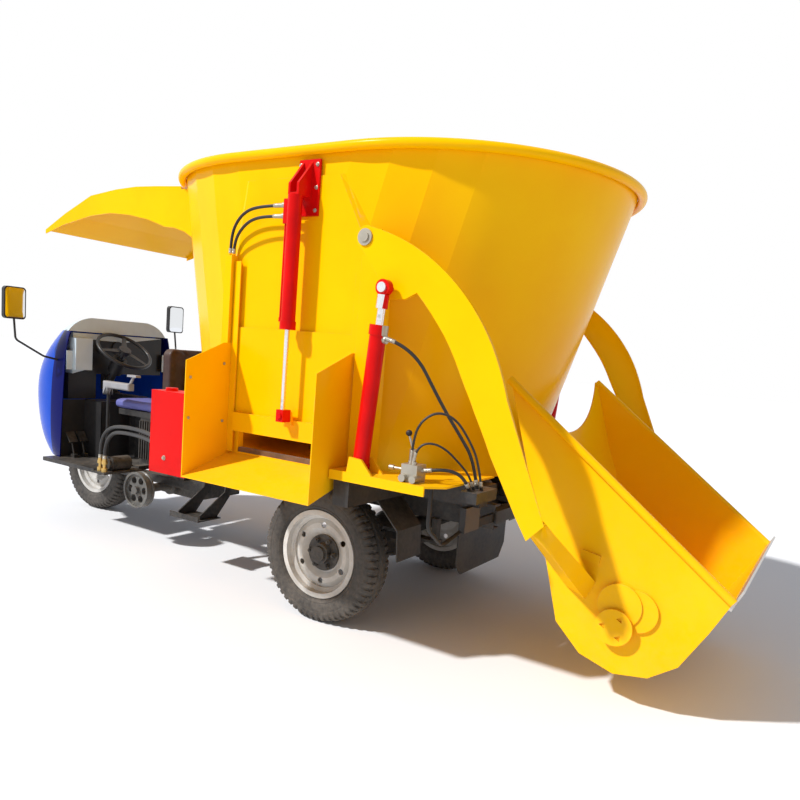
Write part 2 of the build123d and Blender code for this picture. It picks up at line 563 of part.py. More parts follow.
sections = []
for k in range(STEPS + 1):
    a, z, r = flight_at(k / STEPS)
    ca, sa = math.cos(a), math.sin(a)
    low = [(TUB_LOW_X + d * ca, d * sa, z) for d in (CORE_R - 6, r)]
    high = [(px, py, pz + FLIGHT_T) for px, py, pz in low[::-1]]
    sections.append(Wire(Polyline(*low, *high, close=True).edges()))
auger = rod((TUB_LOW_X, 0, 836), (TUB_LOW_X, 0, AUGER_TOP_Z), CORE_R)
auger = auger.fuse(Solid.make_loft(sections, True))
for f in KNIVES:
    a, z, r = flight_at(f)
    blade = flat_plate([(r - 70, -34), (r + 66, -8), (r + 72, 12), (r - 70, 34)], z + 3, z + FLIGHT_T + 4)
    auger = auger.fuse(Pos(TUB_LOW_X, 0, 0) * Rot(0, 0, math.degrees(a)) * blade)
save("auger", auger)

# Loading arms: a curved plate with a narrow inner flange on each side, from the pivot to the elbow,
# then an open-topped folded bar in to the bucket
BOSS_R = 46.0
LUG_R = 40.0
ELBOW = (-1262.0, 742.0)
HEEL = (-1120.0, 700.0)
INNER_ARC = ((-1050.0, 800.0), (-893.0, 1262.0), (-640.0, 1600.0))
OUTER_ARC = ((-400.0, 1858.0), (-793.0, 1652.0), (-1064.0, 1220.0))
BAR_OUT = ((-1150, 840), (-1262, 775), (-1238, 695), (-1120, 735))
BAR_IN = ((-1250, 600), (-1356, 560), (-1330, 425), (-1225, 465))
BAR_T = 9.0


def on_plane(point):
    """An outline point in X and Z, as a point at Y = 0."""
    return (point[0], 0, point[1])


def bar_section(points, y):
    """One end of the folded bar."""
    return Wire(Polyline(*[(x, y, z) for x, z in points], close=True).edges())


def groove_section(points, y):
    """The bar's inside at one end: drawn in from three sides and open past its upper edge."""
    a, b, c, d = [Vector(x, y, z) for x, z in points]
    across = (b - a).normalized()
    up = (a - d).normalized()
    side = across * BAR_T
    low = up * BAR_T
    high = up * 40
    corners = (a + side + high, b - side + high, c - side + low, d + side + low)
    return Wire(Polyline(*corners, close=True).edges())


boss_low = (PIVOT[0] + 18, PIVOT[1] - 42)
boss_side = (PIVOT[0] + BOSS_R, PIVOT[1])
lug_back = (LUG_PIN[0] + LUG_R, LUG_PIN[1] + 12)
lug_low = (LUG_PIN[0] + 6, LUG_PIN[1] - LUG_R)
outline = [
    ThreePointArc(on_plane(boss_low), on_plane(boss_side), on_plane(OUTER_ARC[0])),
    ThreePointArc(*[on_plane(p) for p in OUTER_ARC]),
    Line(on_plane(OUTER_ARC[2]), on_plane(ELBOW)),
    Line(on_plane(ELBOW), on_plane(HEEL)),
    Line(on_plane(HEEL), on_plane(INNER_ARC[0])),
    ThreePointArc(*[on_plane(p) for p in INNER_ARC]),
    Line(on_plane(INNER_ARC[2]), (LUG_PIN[0] - 70, 0, LUG_PIN[1] - 38)),
    Line((LUG_PIN[0] - 70, 0, LUG_PIN[1] - 38), on_plane(lug_low)),
    ThreePointArc(on_plane(lug_low), (LUG_PIN[0] + 34, 0, LUG_PIN[1] - 24), on_plane(lug_back)),
    Line(on_plane(lug_back), on_plane(boss_low)),
]
FLANGE_SHIFT = ((-9.0, 2.0), (-9.0, 3.0), (-8.0, 5.0))
near = [on_plane(p) for p in INNER_ARC]
far = [on_plane((p[0] + d[0], p[1] + d[1])) for p, d in zip(INNER_ARC, FLANGE_SHIFT)]
strip = [ThreePointArc(*near), Line(near[2], far[2]), ThreePointArc(*far[::-1]), Line(far[0], near[0])]
arms = []
for s in (1, -1):
    arm = curved_plate(outline, s * (ARM_Y - ARM_PLATE / 2), s * (ARM_Y + ARM_PLATE / 2))
    arm -= y_disc(PIVOT[0], s * (ARM_Y - 30), s * (ARM_Y + 30), PIVOT[1], 20.1)
    arm += curved_plate(strip, s * (ARM_Y - ARM_PLATE / 2 + 1), s * (ARM_Y - ARM_PLATE / 2 - ARM_FLANGE))
    y_out, y_in = s * (ARM_Y + 5), s * (BUCKET_HALF_W + 0.5)
    bar = Solid.make_loft([bar_section(BAR_OUT, y_out), bar_section(BAR_IN, y_in)], True)
    hollow = [groove_section(BAR_OUT, y_out - s * 24), groove_section(BAR_IN, y_in - s * 2)]
    arms.append(arm + bar.cut(Solid.make_loft(hollow, True)))
save("lift_arms", arms)

# Bucket: a folded sheet body between two side plates, its tub-side wall cut hollow, with round rails along
# the mouth, a side boss and a tab on each side, and a cutting edge
TIP = (-893.0, 1290.0)
LIP = (-1863.0, 552.0)
BUCKET_BACK = ((-1009, 925), (-1055, 812), (-1141, 522), (-1204, 302))
BUCKET_BELLY = ((-1316, 194), (-1460, 150), (-1595, 172), (-1702, 250), (-1794, 413))
BUCKET = (TIP,) + BUCKET_BACK + BUCKET_BELLY + (LIP,)
MOUTH = (-0.605, 0.796)
SCOOP = (575.0, 1045.0)
bucket = side_plate(BUCKET, -BUCKET_HALF_W, BUCKET_HALF_W)
inner_face = offset(make_face(Polyline(*[(x, 0, z) for x, z in BUCKET], close=True)), amount=-BUCKET_WALL)
inner_y = BUCKET_HALF_W - BUCKET_WALL
inner = Pos(0, -inner_y, 0) * extrude(inner_face, 2 * inner_y, dir=(0, 1, 0))
for shift in (0, 5, 12):
    bucket -= Pos(MOUTH[0] * shift, 0, MOUTH[1] * shift) * inner
scoop_y = SCOOP[0] * BUCKET_HALF_W / 603.0
scoop = [ThreePointArc((0, -scoop_y, TIP[1] + 1), (0, 0, SCOOP[1]), (0, scoop_y, TIP[1] + 1)),
         Line((0, scoop_y, TIP[1] + 1), (0, scoop_y, TIP[1] + 110)),
         Line((0, scoop_y, TIP[1] + 110), (0, -scoop_y, TIP[1] + 110)),
         Line((0, -scoop_y, TIP[1] + 110), (0, -scoop_y, TIP[1] + 1))]
bucket -= Pos(-1120, 0, 0) * extrude(make_face(scoop), 300, dir=(1, 0, 0))
BOSS = ((-1460.0, 440.0, 88.0, 22.0), (-1526.0, 430.0, 84.0, 14.0), (-1452.0, 353.0, 62.0, 34.0))
for s in (1, -1):
    y = BUCKET_HALF_W
    bucket += rod((TIP[0], s * (y + 12), TIP[1]), (LIP[0], s * (y + 12), LIP[1]), BUCKET_RAIL_R)
    for x, z, r, out in BOSS:
        bucket += y_disc(x, s * (y - 1), s * (y + out), z, r)
    star = y_disc(BOSS[2][0], s * (y + 33), s * (y + 42), BOSS[2][1], 74)
    for k in range(3):
        a = 2 * math.pi * k / 3
        notch = (BOSS[2][0] + 44 * math.cos(a), s * (y + 46), BOSS[2][1] + 44 * math.sin(a))
        star -= Pos(*notch) * Rot(90, 0, 0) * extrude(RegularPolygon(15, 3), 20, both=True)
    bucket += star
    bucket += side_plate([(-1282, 632), (-1362, 618), (-1356, 580), (-1276, 594)], s * (y - 1), s * (y + 10))
save("bucket", bucket)
LIP_SHAPE = [(-1846, 520), (-1866, 558), (-1886, 600), (-1894, 597), (-1874, 555), (-1857, 515)]
save("cutting_edge", side_plate(LIP_SHAPE, -BUCKET_HALF_W, BUCKET_HALF_W) - bucket)

# Lift cylinders: barrels on the ledge's ears, rods with eyes at the arms' lugs
for s, name in ((1, "left"), (-1, "right")):
    y = s * CYL_Y
    tube = rod(along(16, y), along(BARREL_END, y), BARREL_R)
    tube += rod(along(BARREL_END - 25, y), along(BARREL_END + 15, y), BARREL_R + 5)
    tube -= rod(along(60, y), along(BARREL_END + 40, y), ROD_R + 1)
    tube += y_disc(BASE_PIN[0], y - 33, y + 33, BASE_PIN[1], 25)
    tube -= y_disc(BASE_PIN[0], y - 60, y + 60, BASE_PIN[1], PIN_R + 0.1)
    tube += rod((lift_x - 28, y, lift_z), (lift_x - 44, y, lift_z), 16)
    if s == 1:
        tube += fitting("lift_hose", 0, 36)
    else:
        tube += rod((lift_x - 28, y, lift_z), (lift_x - 56, y, lift_z), 9)
    save(f"lift_cylinder_{name}", tube)
    bar = rod(along(70, y), along(length - 32, y), ROD_R)
    bar += rod(along(length - 82, y), along(length - 28, y), 24)
    bar += y_disc(LUG_PIN[0], y - 16, y + 16, LUG_PIN[1], 32)
    bar += y_disc(LUG_PIN[0], s * (ARM_Y + 9), s * (CYL_Y + 24), LUG_PIN[1], PIN_R)
    bar += y_disc(LUG_PIN[0], s * (CYL_Y + 15), s * (CYL_Y + 24), LUG_PIN[1], 20)
    save(f"lift_rod_{name}", bar)

# Arm posts with the pivot bosses, each on a ledge that also carries the cylinder's ears
POST_X = (-460.0, PLATE_X[0] - SEAT)
for_posts = []
for s in (1, -1):
    y0 = s * (SIDE_PLATE_Y + SEAT)
    post = box(POST_X, (y0, s * (SIDE_PLATE_Y + 60)), (864, 1748))
    post -= box((POST_X[0] + 12, POST_X[1] + 40), (y0, s * (SIDE_PLATE_Y + 52)), (850, 1700))
    cheek = [(POST_X[0], 1500), (POST_X[1], 1500), (-330, 1816), (-355, 1860), (-400, 1862), (-430, 1830)]
    post += side_plate(cheek, y0, y0 + s * 12)
    post += y_disc(PIVOT[0], y0, s * (ARM_Y - 9), PIVOT[1], 44)
    post += y_disc(PIVOT[0], s * (ARM_Y - 30), s * (ARM_Y + 22), PIVOT[1], 20)
    post += y_disc(PIVOT[0], s * (ARM_Y + 8.5), s * (ARM_Y + 16), PIVOT[1], 34)
    rear_y = s * 600
    ledge = [(POST_X[1], y0), (POST_X[1], s * LEDGE_OUT_Y), (-800, s * LEDGE_OUT_Y),
             (-860, s * (LEDGE_OUT_Y - 72)),
             (-860, rear_y), (-640, rear_y), (-560, y0)]
    post += flat_plate(ledge, *LEDGE_Z)
    post += box((POST_X[1] - 8, POST_X[1]), (y0, s * LEDGE_OUT_Y), (826, LEDGE_Z[0] + 2))
    post += box((-800, POST_X[1]), (s * (LEDGE_OUT_Y - 8), s * LEDGE_OUT_Y), (826, LEDGE_Z[0] + 2))
    for y in (CYL_Y - 47, CYL_Y + 35.3):
        post += side_plate([(-430, 860), (-560, 860), (-500, 925), (-440, 930)], s * y, s * (y + 12))
    post += y_disc(BASE_PIN[0], s * (CYL_Y - 47), s * (CYL_Y + 47.3), BASE_PIN[1], PIN_R)
    for_posts.append(post)
save("arm_posts", for_posts)

# Control valve: a cast block with two spools, a lever and its ports, on the left ledge
VALVE_X = (-748.0, -676.0)
VALVE_Y = (1012.0, 1082.0)
VALVE_Z = (LEDGE_Z[1] + SEAT, 936.0)
valve = box(VALVE_X, VALVE_Y, VALVE_Z)
valve += rod((VALVE_X[0] + 8, 1047, VALVE_Z[0] + 16), (VALVE_X[0] + 8, 1102, VALVE_Z[0] + 16), 15)
valve += rod((VALVE_X[1] - 16, 1047, VALVE_Z[0] + 16), (VALVE_X[1] - 16, 1102, VALVE_Z[0] + 16), 15)
for name in ("valve_hose_long", "valve_hose_short"):
    x, py, z = HOSES[name][1][0]
    valve += fitting(name, 0, 32) + rod((x, py, VALVE_Z[1] - 1), (x, py, VALVE_Z[1] + 12), 11)
valve += fitting("valve_hose_thick", 0, 28)
valve += rod((-690, 1024, 930), (-690, 1024, 990), 14) + rod((-690, 1024, 985), (-668, 1030, 1050), 5)
valve += Pos(-668, 1030, 1052) * Sphere(13)
valve += rod((VALVE_X[1] - 8, 1030, 905), (-590, 1030, 905), 6)
valve += rod((-612, 1030, 905), (-590, 1030, 905), 10)
save("control_valve", valve)

# Subframe: two beams on the rails, cross beams out to the ledges, the deck under the tub, and the block
# behind the left ledge where the hoses end
HOSE_BLOCK = ((-940.0, -866.0), (740.0, 930.0), (795.0, 840.0))
sub = box((-560, 1090), (-700, 700), (DECK_Z[0] - 0.3, DECK_Z[1]))
sub -= Pos(TUB_LOW_X, 0, 790) * Cylinder(152, 60)
for s in (1, -1):
    sub += box((-700, 1090), (s * (RAIL_Y - 35), s * (RAIL_Y + 35)), (RAIL_Z[1] + SEAT, DECK_Z[0]))
for x, half in ((-400, CYL_Y + 31), (900, 690)):
    sub += box((x - 40, x + 40), (-half, half), (715, DECK_Z[0]))
sub += box((740, 980), (560, TANK_Y[0] - SEAT), (715, DECK_Z[0]))
for s in (1, -1):
    sub += box((-440, -360), (s * (SIDE_PLATE_Y + 15), s * (CYL_Y + 31)), (765, LEDGE_Z[0] - SEAT))
    sub += box((-820, -640), (s * 560, s * 640), (765, LEDGE_Z[0] - SEAT))
    sub += box((-820, -440), (s * 560, s * 640), (720, DECK_Z[0]))
sub += box((-875, -800), (600, 760), (800, 835)) + box(*HOSE_BLOCK)
for name in ("lift_hose", "valve_hose_long", "valve_hose_short", "valve_hose_thick"):
    sub += fitting(name, 1, 26)
save("subframe", sub)

# The auger's gearbox under the tub with its drive shaft
gearbox = Pos(TUB_LOW_X, 0, 700) * Cylinder(138, 166)
gearbox += Pos(TUB_LOW_X, 0, 650) * Cylinder(100, 160)
gearbox += rod((TUB_LOW_X, 0, 700), (TUB_LOW_X, 0, 835.7), 90)
gearbox += rod((TUB_LOW_X + 100, 0, 680), (RAIL_STEP_X[0] - 5, 0, 680), 28)
gearbox += box((100, 290), (-RAIL_Y + 35.3, RAIL_Y - 35.3), (690, 715))
save("auger_gearbox", gearbox)

# Engine: block, sump, cooling fins, covers and the bearing that carries its belt pulley
engine = box(ENGINE_X, (-ENGINE_Y, ENGINE_Y), ENGINE_Z) + box((1400, 1800), (-180, 180), (300, 460))
FINS = 6
for k in range(FINS):
    x = ENGINE_X[1] - 150 + 24 * k
    engine += box((x, x + 8), (-ENGINE_Y - 26, ENGINE_Y + 26), (ENGINE_Z[0] + 55, ENGINE_Z[1] - 20))
for x, z, r, out in ((1470, 640, 96, 30), (1470, 640, 60, 48), (1660, 560, 70, 26), (1740, 700, 44, 60)):
    engine += y_disc(x, ENGINE_Y - 5, ENGINE_Y + out, z, r)
engine += rod((1590, ENGINE_Y - 5, 745), (1590, ENGINE_Y + 40, 745), 20)
for x in (1430, 1870):
    engine += box((x - 30, x + 30), (-RAIL_Y - 25, RAIL_Y + 25), (LOW_RAIL_Z[1] + SEAT, 475))
bearing = y_disc(PULLEY[0], 170, PULLEY[1] - 0.5, PULLEY[2], 28)
engine += bearing + y_disc(PULLEY[0], 170, 220, PULLEY[2], 60)
engine -= y_disc(PULLEY[0], PULLEY[1] - 72, PULLEY[1], PULLEY[2], 12.05)
save("engine", engine)
pulley = y_disc(0, 0, 60, 0, PULLEY_R) - y_disc(0, 44, 70, 0, PULLEY_R - 14)
VEE = ((10, PULLEY_R + 9), (10, PULLEY_R - 1), (18, PULLEY_R - 12), (26, PULLEY_R - 1), (26, PULLEY_R + 9))
pulley -= ring_section(VEE)
for k in range(6):
    a = math.pi * k / 3
    pulley -= Pos(66 * math.cos(a), 0, 66 * math.sin(a)) * Rot(90, 0, 0) * Cylinder(24, 200)
pulley += y_disc(0, 0, 70, 0, 26) + y_disc(0, -70, 0, 0, 12)
save("engine_pulley", pulley.moved(Location(PULLEY)))

# Hydraulic tank and battery
tank = box(TANK_X, TANK_Y, TANK_Z)
tank += Pos(TANK_X[0] + 200, TANK_Y[0] + 70, TANK_Z[1]) * Cylinder(32, 30)
tank += fitting("tank_hose_upper", 1, 24) + fitting("tank_hose_lower", 1, 24)
save("hydraulic_tank", tank)
battery = box((900, 1120), (-560, -360), (380, 540))
battery += box((880, 1140), (-570, -RAIL_Y - 30.3), (372, 381))
battery += box((880, 1140), (-360, -RAIL_Y - 30.3), (372, 640))
save("battery_box", battery)
# Cab floor with the seat's frame and two foot pedals hinged on it
deck_floor = box(FLOOR_X, (-560, 560), FLOOR_Z)
deck_floor -= box((neck_x[0] - 6, FLOOR_X[1] + 40), (-285, 285), (FLOOR_Z[0] - 8, FLOOR_Z[1] + 14))
deck_floor += box((FLOOR_X[0], FLOOR_X[1]), (552, 560), (430, FLOOR_Z[0] + 1))
save("cab_floor", deck_floor)
seat_frame = box((SEAT_X - 10, SEAT_X + 530), (-180, 240), (ENGINE_Z[1] + SEAT, SEAT_Z[0] - SEAT))
seat_frame += box((SEAT_X - 25, SEAT_X - SEAT), (-60, 120), (ENGINE_Z[1] + SEAT, 1150))
save("seat_frame", seat_frame)
pedals = []
PEDAL_X = WHEELBASE - 250.0
for py in (312.0, 392.0):
    pedal = box((PEDAL_X - 20, PEDAL_X + 20), (py, py + 30), (FLOOR_Z[1] + SEAT, FLOOR_Z[1] + 24))
    pedal += rod((PEDAL_X, py + 15, FLOOR_Z[1] + 14), (PEDAL_X + 40, py + 15, 590), 7)
    pad = Pos(PEDAL_X + 34, py + 15, 596) * Rot(0, -52, 0) * Box(84, 62, 9)
    pedals.append(pedal + pad)
save("foot_pedals", pedals)

# Control stand beside the seat: a post and a padded rail with its grip lever
STAND_X = WHEELBASE - 530.0
STAND_Y = 350.0
stand = rod((STAND_X, STAND_Y, FLOOR_Z[1] + SEAT), (STAND_X, STAND_Y, 960), 11)
pad = box((STAND_X - 240, STAND_X + 35), (STAND_Y - 26, STAND_Y + 26), (972, 1020))
pad += box((STAND_X - 20, STAND_X + 35), (STAND_Y - 26, STAND_Y + 26), (924, 980))
stand += fillet(pad.edges().filter_by(Axis.Y, reverse=True), 14)
stand += rod((STAND_X - 215, STAND_Y, 1000), (STAND_X - 262, STAND_Y, 1072), 9)
stand += box((STAND_X - 305, STAND_X - 215), (STAND_Y - 20, STAND_Y + 20), (1066, 1080))
save("control_stand", stand)

# Hydraulic pump on a plate outside the left rail, with the two brass elbows of the tank's hoses
pump = box((PUMP_X - 65, PUMP_X + 65), (RAIL_Y + 30.3, 620), (449, 461))
pump += box((PUMP_X - 65, PUMP_X + 65), (RAIL_Y + 30.3, RAIL_Y + 42), (400, 461))
pump += y_disc(PUMP_X - 4, 400, 540, 506, 48) + y_disc(PUMP_X - 4, 538, 556, 506, 34)
pump += fitting("tank_hose_upper", 0, 30) + fitting("tank_hose_lower", 0, 30)
for x, ey in ELBOWS:
    pump += rod((x, ey, 460), (x, ey, ELBOW_TOP_Z - 10), 11) + rod((x, ey, 462), (x, ey, 486), 19)
    pump += rod((x, ey, ELBOW_TOP_Z - 34), (x, ey, ELBOW_TOP_Z - 14), 18)
save("hydraulic_pump", pump)


# Cowl: a moulded shell round the front, a pale closed top above it, and the dashboard behind
def cowl_section(z, half_w, length, x0):
    """A horizontal section of the cowl: one arc round the nose, closed by a line across the back."""
    arc = ThreePointArc((x0, half_w, z), (x0 + length, 0, z), (x0, -half_w, z))
    return Wire([arc, Line((x0, -half_w, z), (x0, half_w, z))])


COWL = ((456.3, 480, 430), (650, 475, 570), (860, 468, 612), (1057, 460, 590), (1230, 445, 486),
        (1335, 420, 378))
COWL_WALL = 8.0
LAMP = (970.0, 72.0)
outer = Solid.make_loft([cowl_section(z, w, l, COWL_X) for z, w, l in COWL])
inner = Solid.make_loft([cowl_section(z, w - COWL_WALL, l, COWL_X - COWL_WALL) for z, w, l in COWL])
cowl = outer - inner
arch = [ThreePointArc((0, -300, 650), (0, 0, 750), (0, 300, 650)), Line((0, 300, 650), (0, 300, 400)),
        Line((0, 300, 400), (0, -300, 400)), Line((0, -300, 400), (0, -300, 650))]
cowl -= Pos(COWL_X + 70, 0, 0) * extrude(make_face(arch), 700, dir=(1, 0, 0))
cowl -= rod((COWL_X + 500, 0, LAMP[0]), (COWL_X + 700, 0, LAMP[0]), LAMP[1] + SEAT)
save("cowl", cowl)
TOP_X = COWL_X + 26
TOP = ((1335.3, 416, 352), (1395, 356, 274), (1437, 237, 154))
wall = COWL_WALL
outer = Solid.make_loft([cowl_section(z, w, l, TOP_X) for z, w, l in TOP])
inner = Solid.make_loft([cowl_section(z - 6, w - wall, l - 2 * wall, TOP_X + wall) for z, w, l in TOP])
save("cowl_top", outer - inner)
dash_x = (COWL_X + 25, COWL_X + 110)
dash = box(dash_x, (-380, 380), (1040, 1325)) + box((dash_x[0] + 15, dash_x[1]), (180, 400), (860, 1041))
dash += box((COWL_X - 40, dash_x[0] + 10), (270, 400), (1070, 1290))
for y in (150, 20):
    dash += rod((COWL_X + 12, y, 1235), (dash_x[0] + 10, y, 1235), 46)
for s in (1, -1):
    dash += box((COWL_X - 7, COWL_X - SEAT), (s * 366, s * 446), (1070, 1200))
    dash += box((COWL_X - 7, COWL_X + 40), (s * 366, s * 378), (1070, 1200))
save("dashboard", dash)

# Seat: a cushion and a back with rounded corners, both upholstered
cushion = box((SEAT_X + 95.3, SEAT_X + 580), SEAT_Y, SEAT_Z)
save("seat_cushion", fillet(cushion.edges(), 22))
seat_back = box((SEAT_X, SEAT_X + 95), SEAT_Y, (SEAT_Z[0], SEAT_TOP_Z))
seat_back = fillet(seat_back.edges().filter_by(Axis.X), 60)
save("seat_back", fillet(seat_back.edges(), 14))

# Steering wheel and its column with a moulded shroud
tilt = math.radians(STEER_TILT_DEG)
wheel_ring = Torus(STEER_R, 12) + Cylinder(44, 34)
for k in range(3):
    a = math.pi / 2 + 2 * math.pi * k / 3
    spoke = flat_plate([(0, -22), (STEER_R - 4, -12), (STEER_R - 4, 12), (0, 22)], -5, 5)
    wheel_ring += Rot(0, 0, math.degrees(a)) * spoke
wheel_ring += rod((0, 0, -60), (0, 0, 0), 16)
save("steering_wheel", wheel_ring.moved(Location(STEER_C, (0, -STEER_TILT_DEG, 0))))


def column_point(d):
    """A point on the steering column's line below the steering wheel."""
    return (STEER_C[0] + d * math.sin(tilt), STEER_C[1], STEER_C[2] - d * math.cos(tilt))


column = rod(column_point(60.3), column_point(330), 28) + rod(column_point(75), column_point(190), 52)
column += box((dash_x[0] + 1, dash_x[0] + 45), (60, 120), (930, 1039.7))
save("steering_column", column)

# Canopy over the driver: a curved roof sheet with side skirts, hung on the tub's front; heights from the rim
ROOF = ((2510, -233), (2300, -138), (2036, -38), (1792, -13), (1607, -6), (1438, -12), (1250, -22),
        (1120, -28))
SKIRT = ((1060, -333), (1177, -273), (1262, -250), (1338, -244), (1489, -198), (1663, -166), (1843, -150),
         (2030, -160), (2320, -208), (2510, -258))
CANOPY_HALF_W = 600.0
CANOPY_T = 6.0
roof_line = [(x, TUB_TOP_Z + z) for x, z in ROOF]
skirt_line = [(x, TUB_TOP_Z + z) for x, z in SKIRT]
rear_x = SKIRT[0][0]
canopy = side_plate(roof_line + [(rear_x, TUB_TOP_Z - 28)] + skirt_line, -CANOPY_HALF_W, CANOPY_HALF_W)
under = [(x, z - CANOPY_T) for x, z in roof_line]
under += [(rear_x - 10, TUB_TOP_Z - 34), (rear_x - 10, TUB_TOP_Z - 418), (2600, TUB_TOP_Z - 418),
          (2600, TUB_TOP_Z - 258)]
canopy -= side_plate(under, -CANOPY_HALF_W + CANOPY_T, CANOPY_HALF_W - CANOPY_T)
canopy = canopy - tub_solid(TUB_BOTTOM_Z, TUB_TOP_Z + 40, -SEAT - 0.2)
canopy = canopy - tub_solid(TUB_TOP_Z - 40, TUB_TOP_Z + 40, -2 * RIM_TUBE_R - 3)
save("canopy", canopy.solids().sort_by(SortBy.VOLUME)[-1])

# Rear fenders
fenders = []
FENDER_Y = (530.0, 740.0)
for s in (1, -1):
    fender_y = (s * FENDER_Y[0], s * FENDER_Y[1])
    plate = box((-330, 330), fender_y, (704, 710)) + box((-60, 60), (s * 335.3, s * 560), (704, 714))
    plate += side_plate([(-330, 710), (-330, 704), (-470, 560), (-476, 564)], *fender_y)
    plate += side_plate([(-476, 564), (-470, 560), (-480, 420), (-486, 420)], *fender_y)
    fenders.append(plate)
save("rear_fenders", fenders)
# Lamps: a round head lamp in the cowl, tail lamps on arms with a guard hoop on each side
head = rod((COWL_X + 545, 0, LAMP[0]), (COWL_X + 611, 0, LAMP[0]), LAMP[1])
head += rod((COWL_X + 520, 0, LAMP[0]), (COWL_X + 550, 0, LAMP[0]), LAMP[1] - 24)
lamps = [head]
for s in (1, -1):
    lamp = box((-790, RAIL_REAR_X - 0.9), (s * 560, s * 700), (610, 720))
    lamp += box((RAIL_REAR_X - 1, RAIL_REAR_X + 20), (s * (RAIL_Y + 30.3), s * 640), (600, 640))
    hoop = [(-740, s * 940, LEDGE_Z[0] - SEAT), (-740, s * 940, 660), (-752, s * 830, 572),
            (-765, s * 690, 612)]
    lamps.append(lamp + pipe(hoop, 9, [60, 60]))
save("lamps", lamps)

# Mirrors on bent arms from the cowl's sides
mirrors = []
for s in (1, -1):
    root = (WHEELBASE - 120, s * 466.5, 1130)
    bends = [(WHEELBASE - 105, s * 560, 1150), (WHEELBASE + 20, s * 685, 1250),
             (WHEELBASE + 42, s * 685, 1390)]
    arm = pipe([root] + bends, 7, [30, 40])
    head = box((WHEELBASE + 28, WHEELBASE + 60), (s * 610, s * 760), (1385, 1600))
    head = fillet(head.edges().filter_by(Axis.X), 24)
    mirrors.append(arm + head)
save("mirrors", mirrors)

for name in HOSES:
    save(name, hose(name))
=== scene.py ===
import math

import bmesh
import bpy
import numpy as np
from mathutils import Matrix, Vector


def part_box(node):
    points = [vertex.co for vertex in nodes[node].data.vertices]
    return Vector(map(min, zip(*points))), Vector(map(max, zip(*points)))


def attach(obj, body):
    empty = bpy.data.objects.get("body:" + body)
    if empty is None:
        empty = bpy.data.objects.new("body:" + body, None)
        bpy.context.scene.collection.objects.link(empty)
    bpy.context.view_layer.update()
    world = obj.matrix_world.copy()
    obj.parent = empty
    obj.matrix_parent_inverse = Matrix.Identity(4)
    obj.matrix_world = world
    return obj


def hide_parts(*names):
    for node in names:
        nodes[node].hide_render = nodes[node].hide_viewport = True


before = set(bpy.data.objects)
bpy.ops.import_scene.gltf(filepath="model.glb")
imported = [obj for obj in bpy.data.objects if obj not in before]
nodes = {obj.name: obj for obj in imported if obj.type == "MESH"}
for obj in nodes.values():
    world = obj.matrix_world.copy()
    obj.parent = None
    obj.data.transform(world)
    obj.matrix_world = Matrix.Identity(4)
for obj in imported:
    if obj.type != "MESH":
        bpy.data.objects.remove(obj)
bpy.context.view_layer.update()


# The viewpoint: the photographer stood behind the machine's left rear corner,
# at chest height, about four metres from the door, with a wide lens.

EYE = (-2.734, 3.411, 1.356)
YAW, PITCH, ROLL = math.radians(-58.114), math.radians(-7.377), math.radians(4.661)

forward = np.array([math.cos(YAW) * math.cos(PITCH), math.sin(YAW) * math.cos(PITCH), math.sin(PITCH)])
level_right = np.cross(forward, (0, 0, 1))
level_right /= np.linalg.norm(level_right)
level_up = np.cross(level_right, forward)
right = math.cos(ROLL) * level_right + math.sin(ROLL) * level_up
up = -math.sin(ROLL) * level_right + math.cos(ROLL) * level_up

lens = bpy.data.cameras.new("viewpoint")
lens.sensor_width = 36
lens.lens = 32.45
lens.shift_x, lens.shift_y = 0.0048, 0.060
lens.clip_end = 200
camera = bpy.data.objects.new("viewpoint", lens)
camera.matrix_world = Matrix([[*row, place] for row, place in
                              zip(np.column_stack([right, up, -forward]).tolist(), EYE)] + [[0, 0, 0, 1]])
bpy.context.scene.collection.objects.link(camera)
bpy.context.scene.camera = camera
bpy.context.scene.view_settings.view_transform = "Standard"


# The yard: a pale, dry concrete floor under soft daylight. One broad lamp
# stands high in front of the machine's left side, and the sky fills the rest.

SKY_FILL = 0.41
SKY_TINT = (0.86, 0.90, 1.0)
WHITE = (1.0, 1.0, 1.0)
SUN_FROM = Vector((0.50, 0.72, 0.82))
SUN_STRENGTH = 3.9
SUN_DEGREES = 2.5
FLOOR_HALF = 60
FLOOR_COLOUR = (0.90, 0.90, 0.905)


def fill(tree, made, inputs):
    """Fills a shader node's sockets, by name or number, each with a link or a value; colours are opaque."""
    for name, value in inputs.items():
        socket = made.inputs[name]
        if isinstance(value, bpy.types.NodeSocket):
            tree.links.new(value, socket)
        else:
            socket.default_value = (*value, 1) if socket.type == "RGBA" else value


def node(tree, kind, inputs=None, **settings):
    """Adds one shader node, sets its options, then fills its sockets."""
    made = tree.nodes.new("ShaderNode" + kind)
    for name, value in settings.items():
        setattr(made, name, value)
    fill(tree, made, inputs or {})
    return made


def worked(tree, operation, first, second, held=False):
    """Two values added, multiplied or compared, and held between nought and one where asked."""
    return node(tree, "Math", {0: first, 1: second}, operation=operation, use_clamp=held).outputs[0]


def ranged(tree, value, low, high, to_low=0.0, to_high=1.0):
    """A value carried from one range to another in proportion, and held at both ends."""
    return node(tree, "MapRange", {"Value": value, "From Min": low, "From Max": high,
                                   "To Min": to_low, "To Max": to_high}).outputs[0]


def blended(tree, share, first, second):
    """Two colours mixed: the first where the share is nought, the second where it is one."""
    return node(tree, "Mix", {"Factor": share, 6: first, 7: second}, data_type="RGBA").outputs[2]


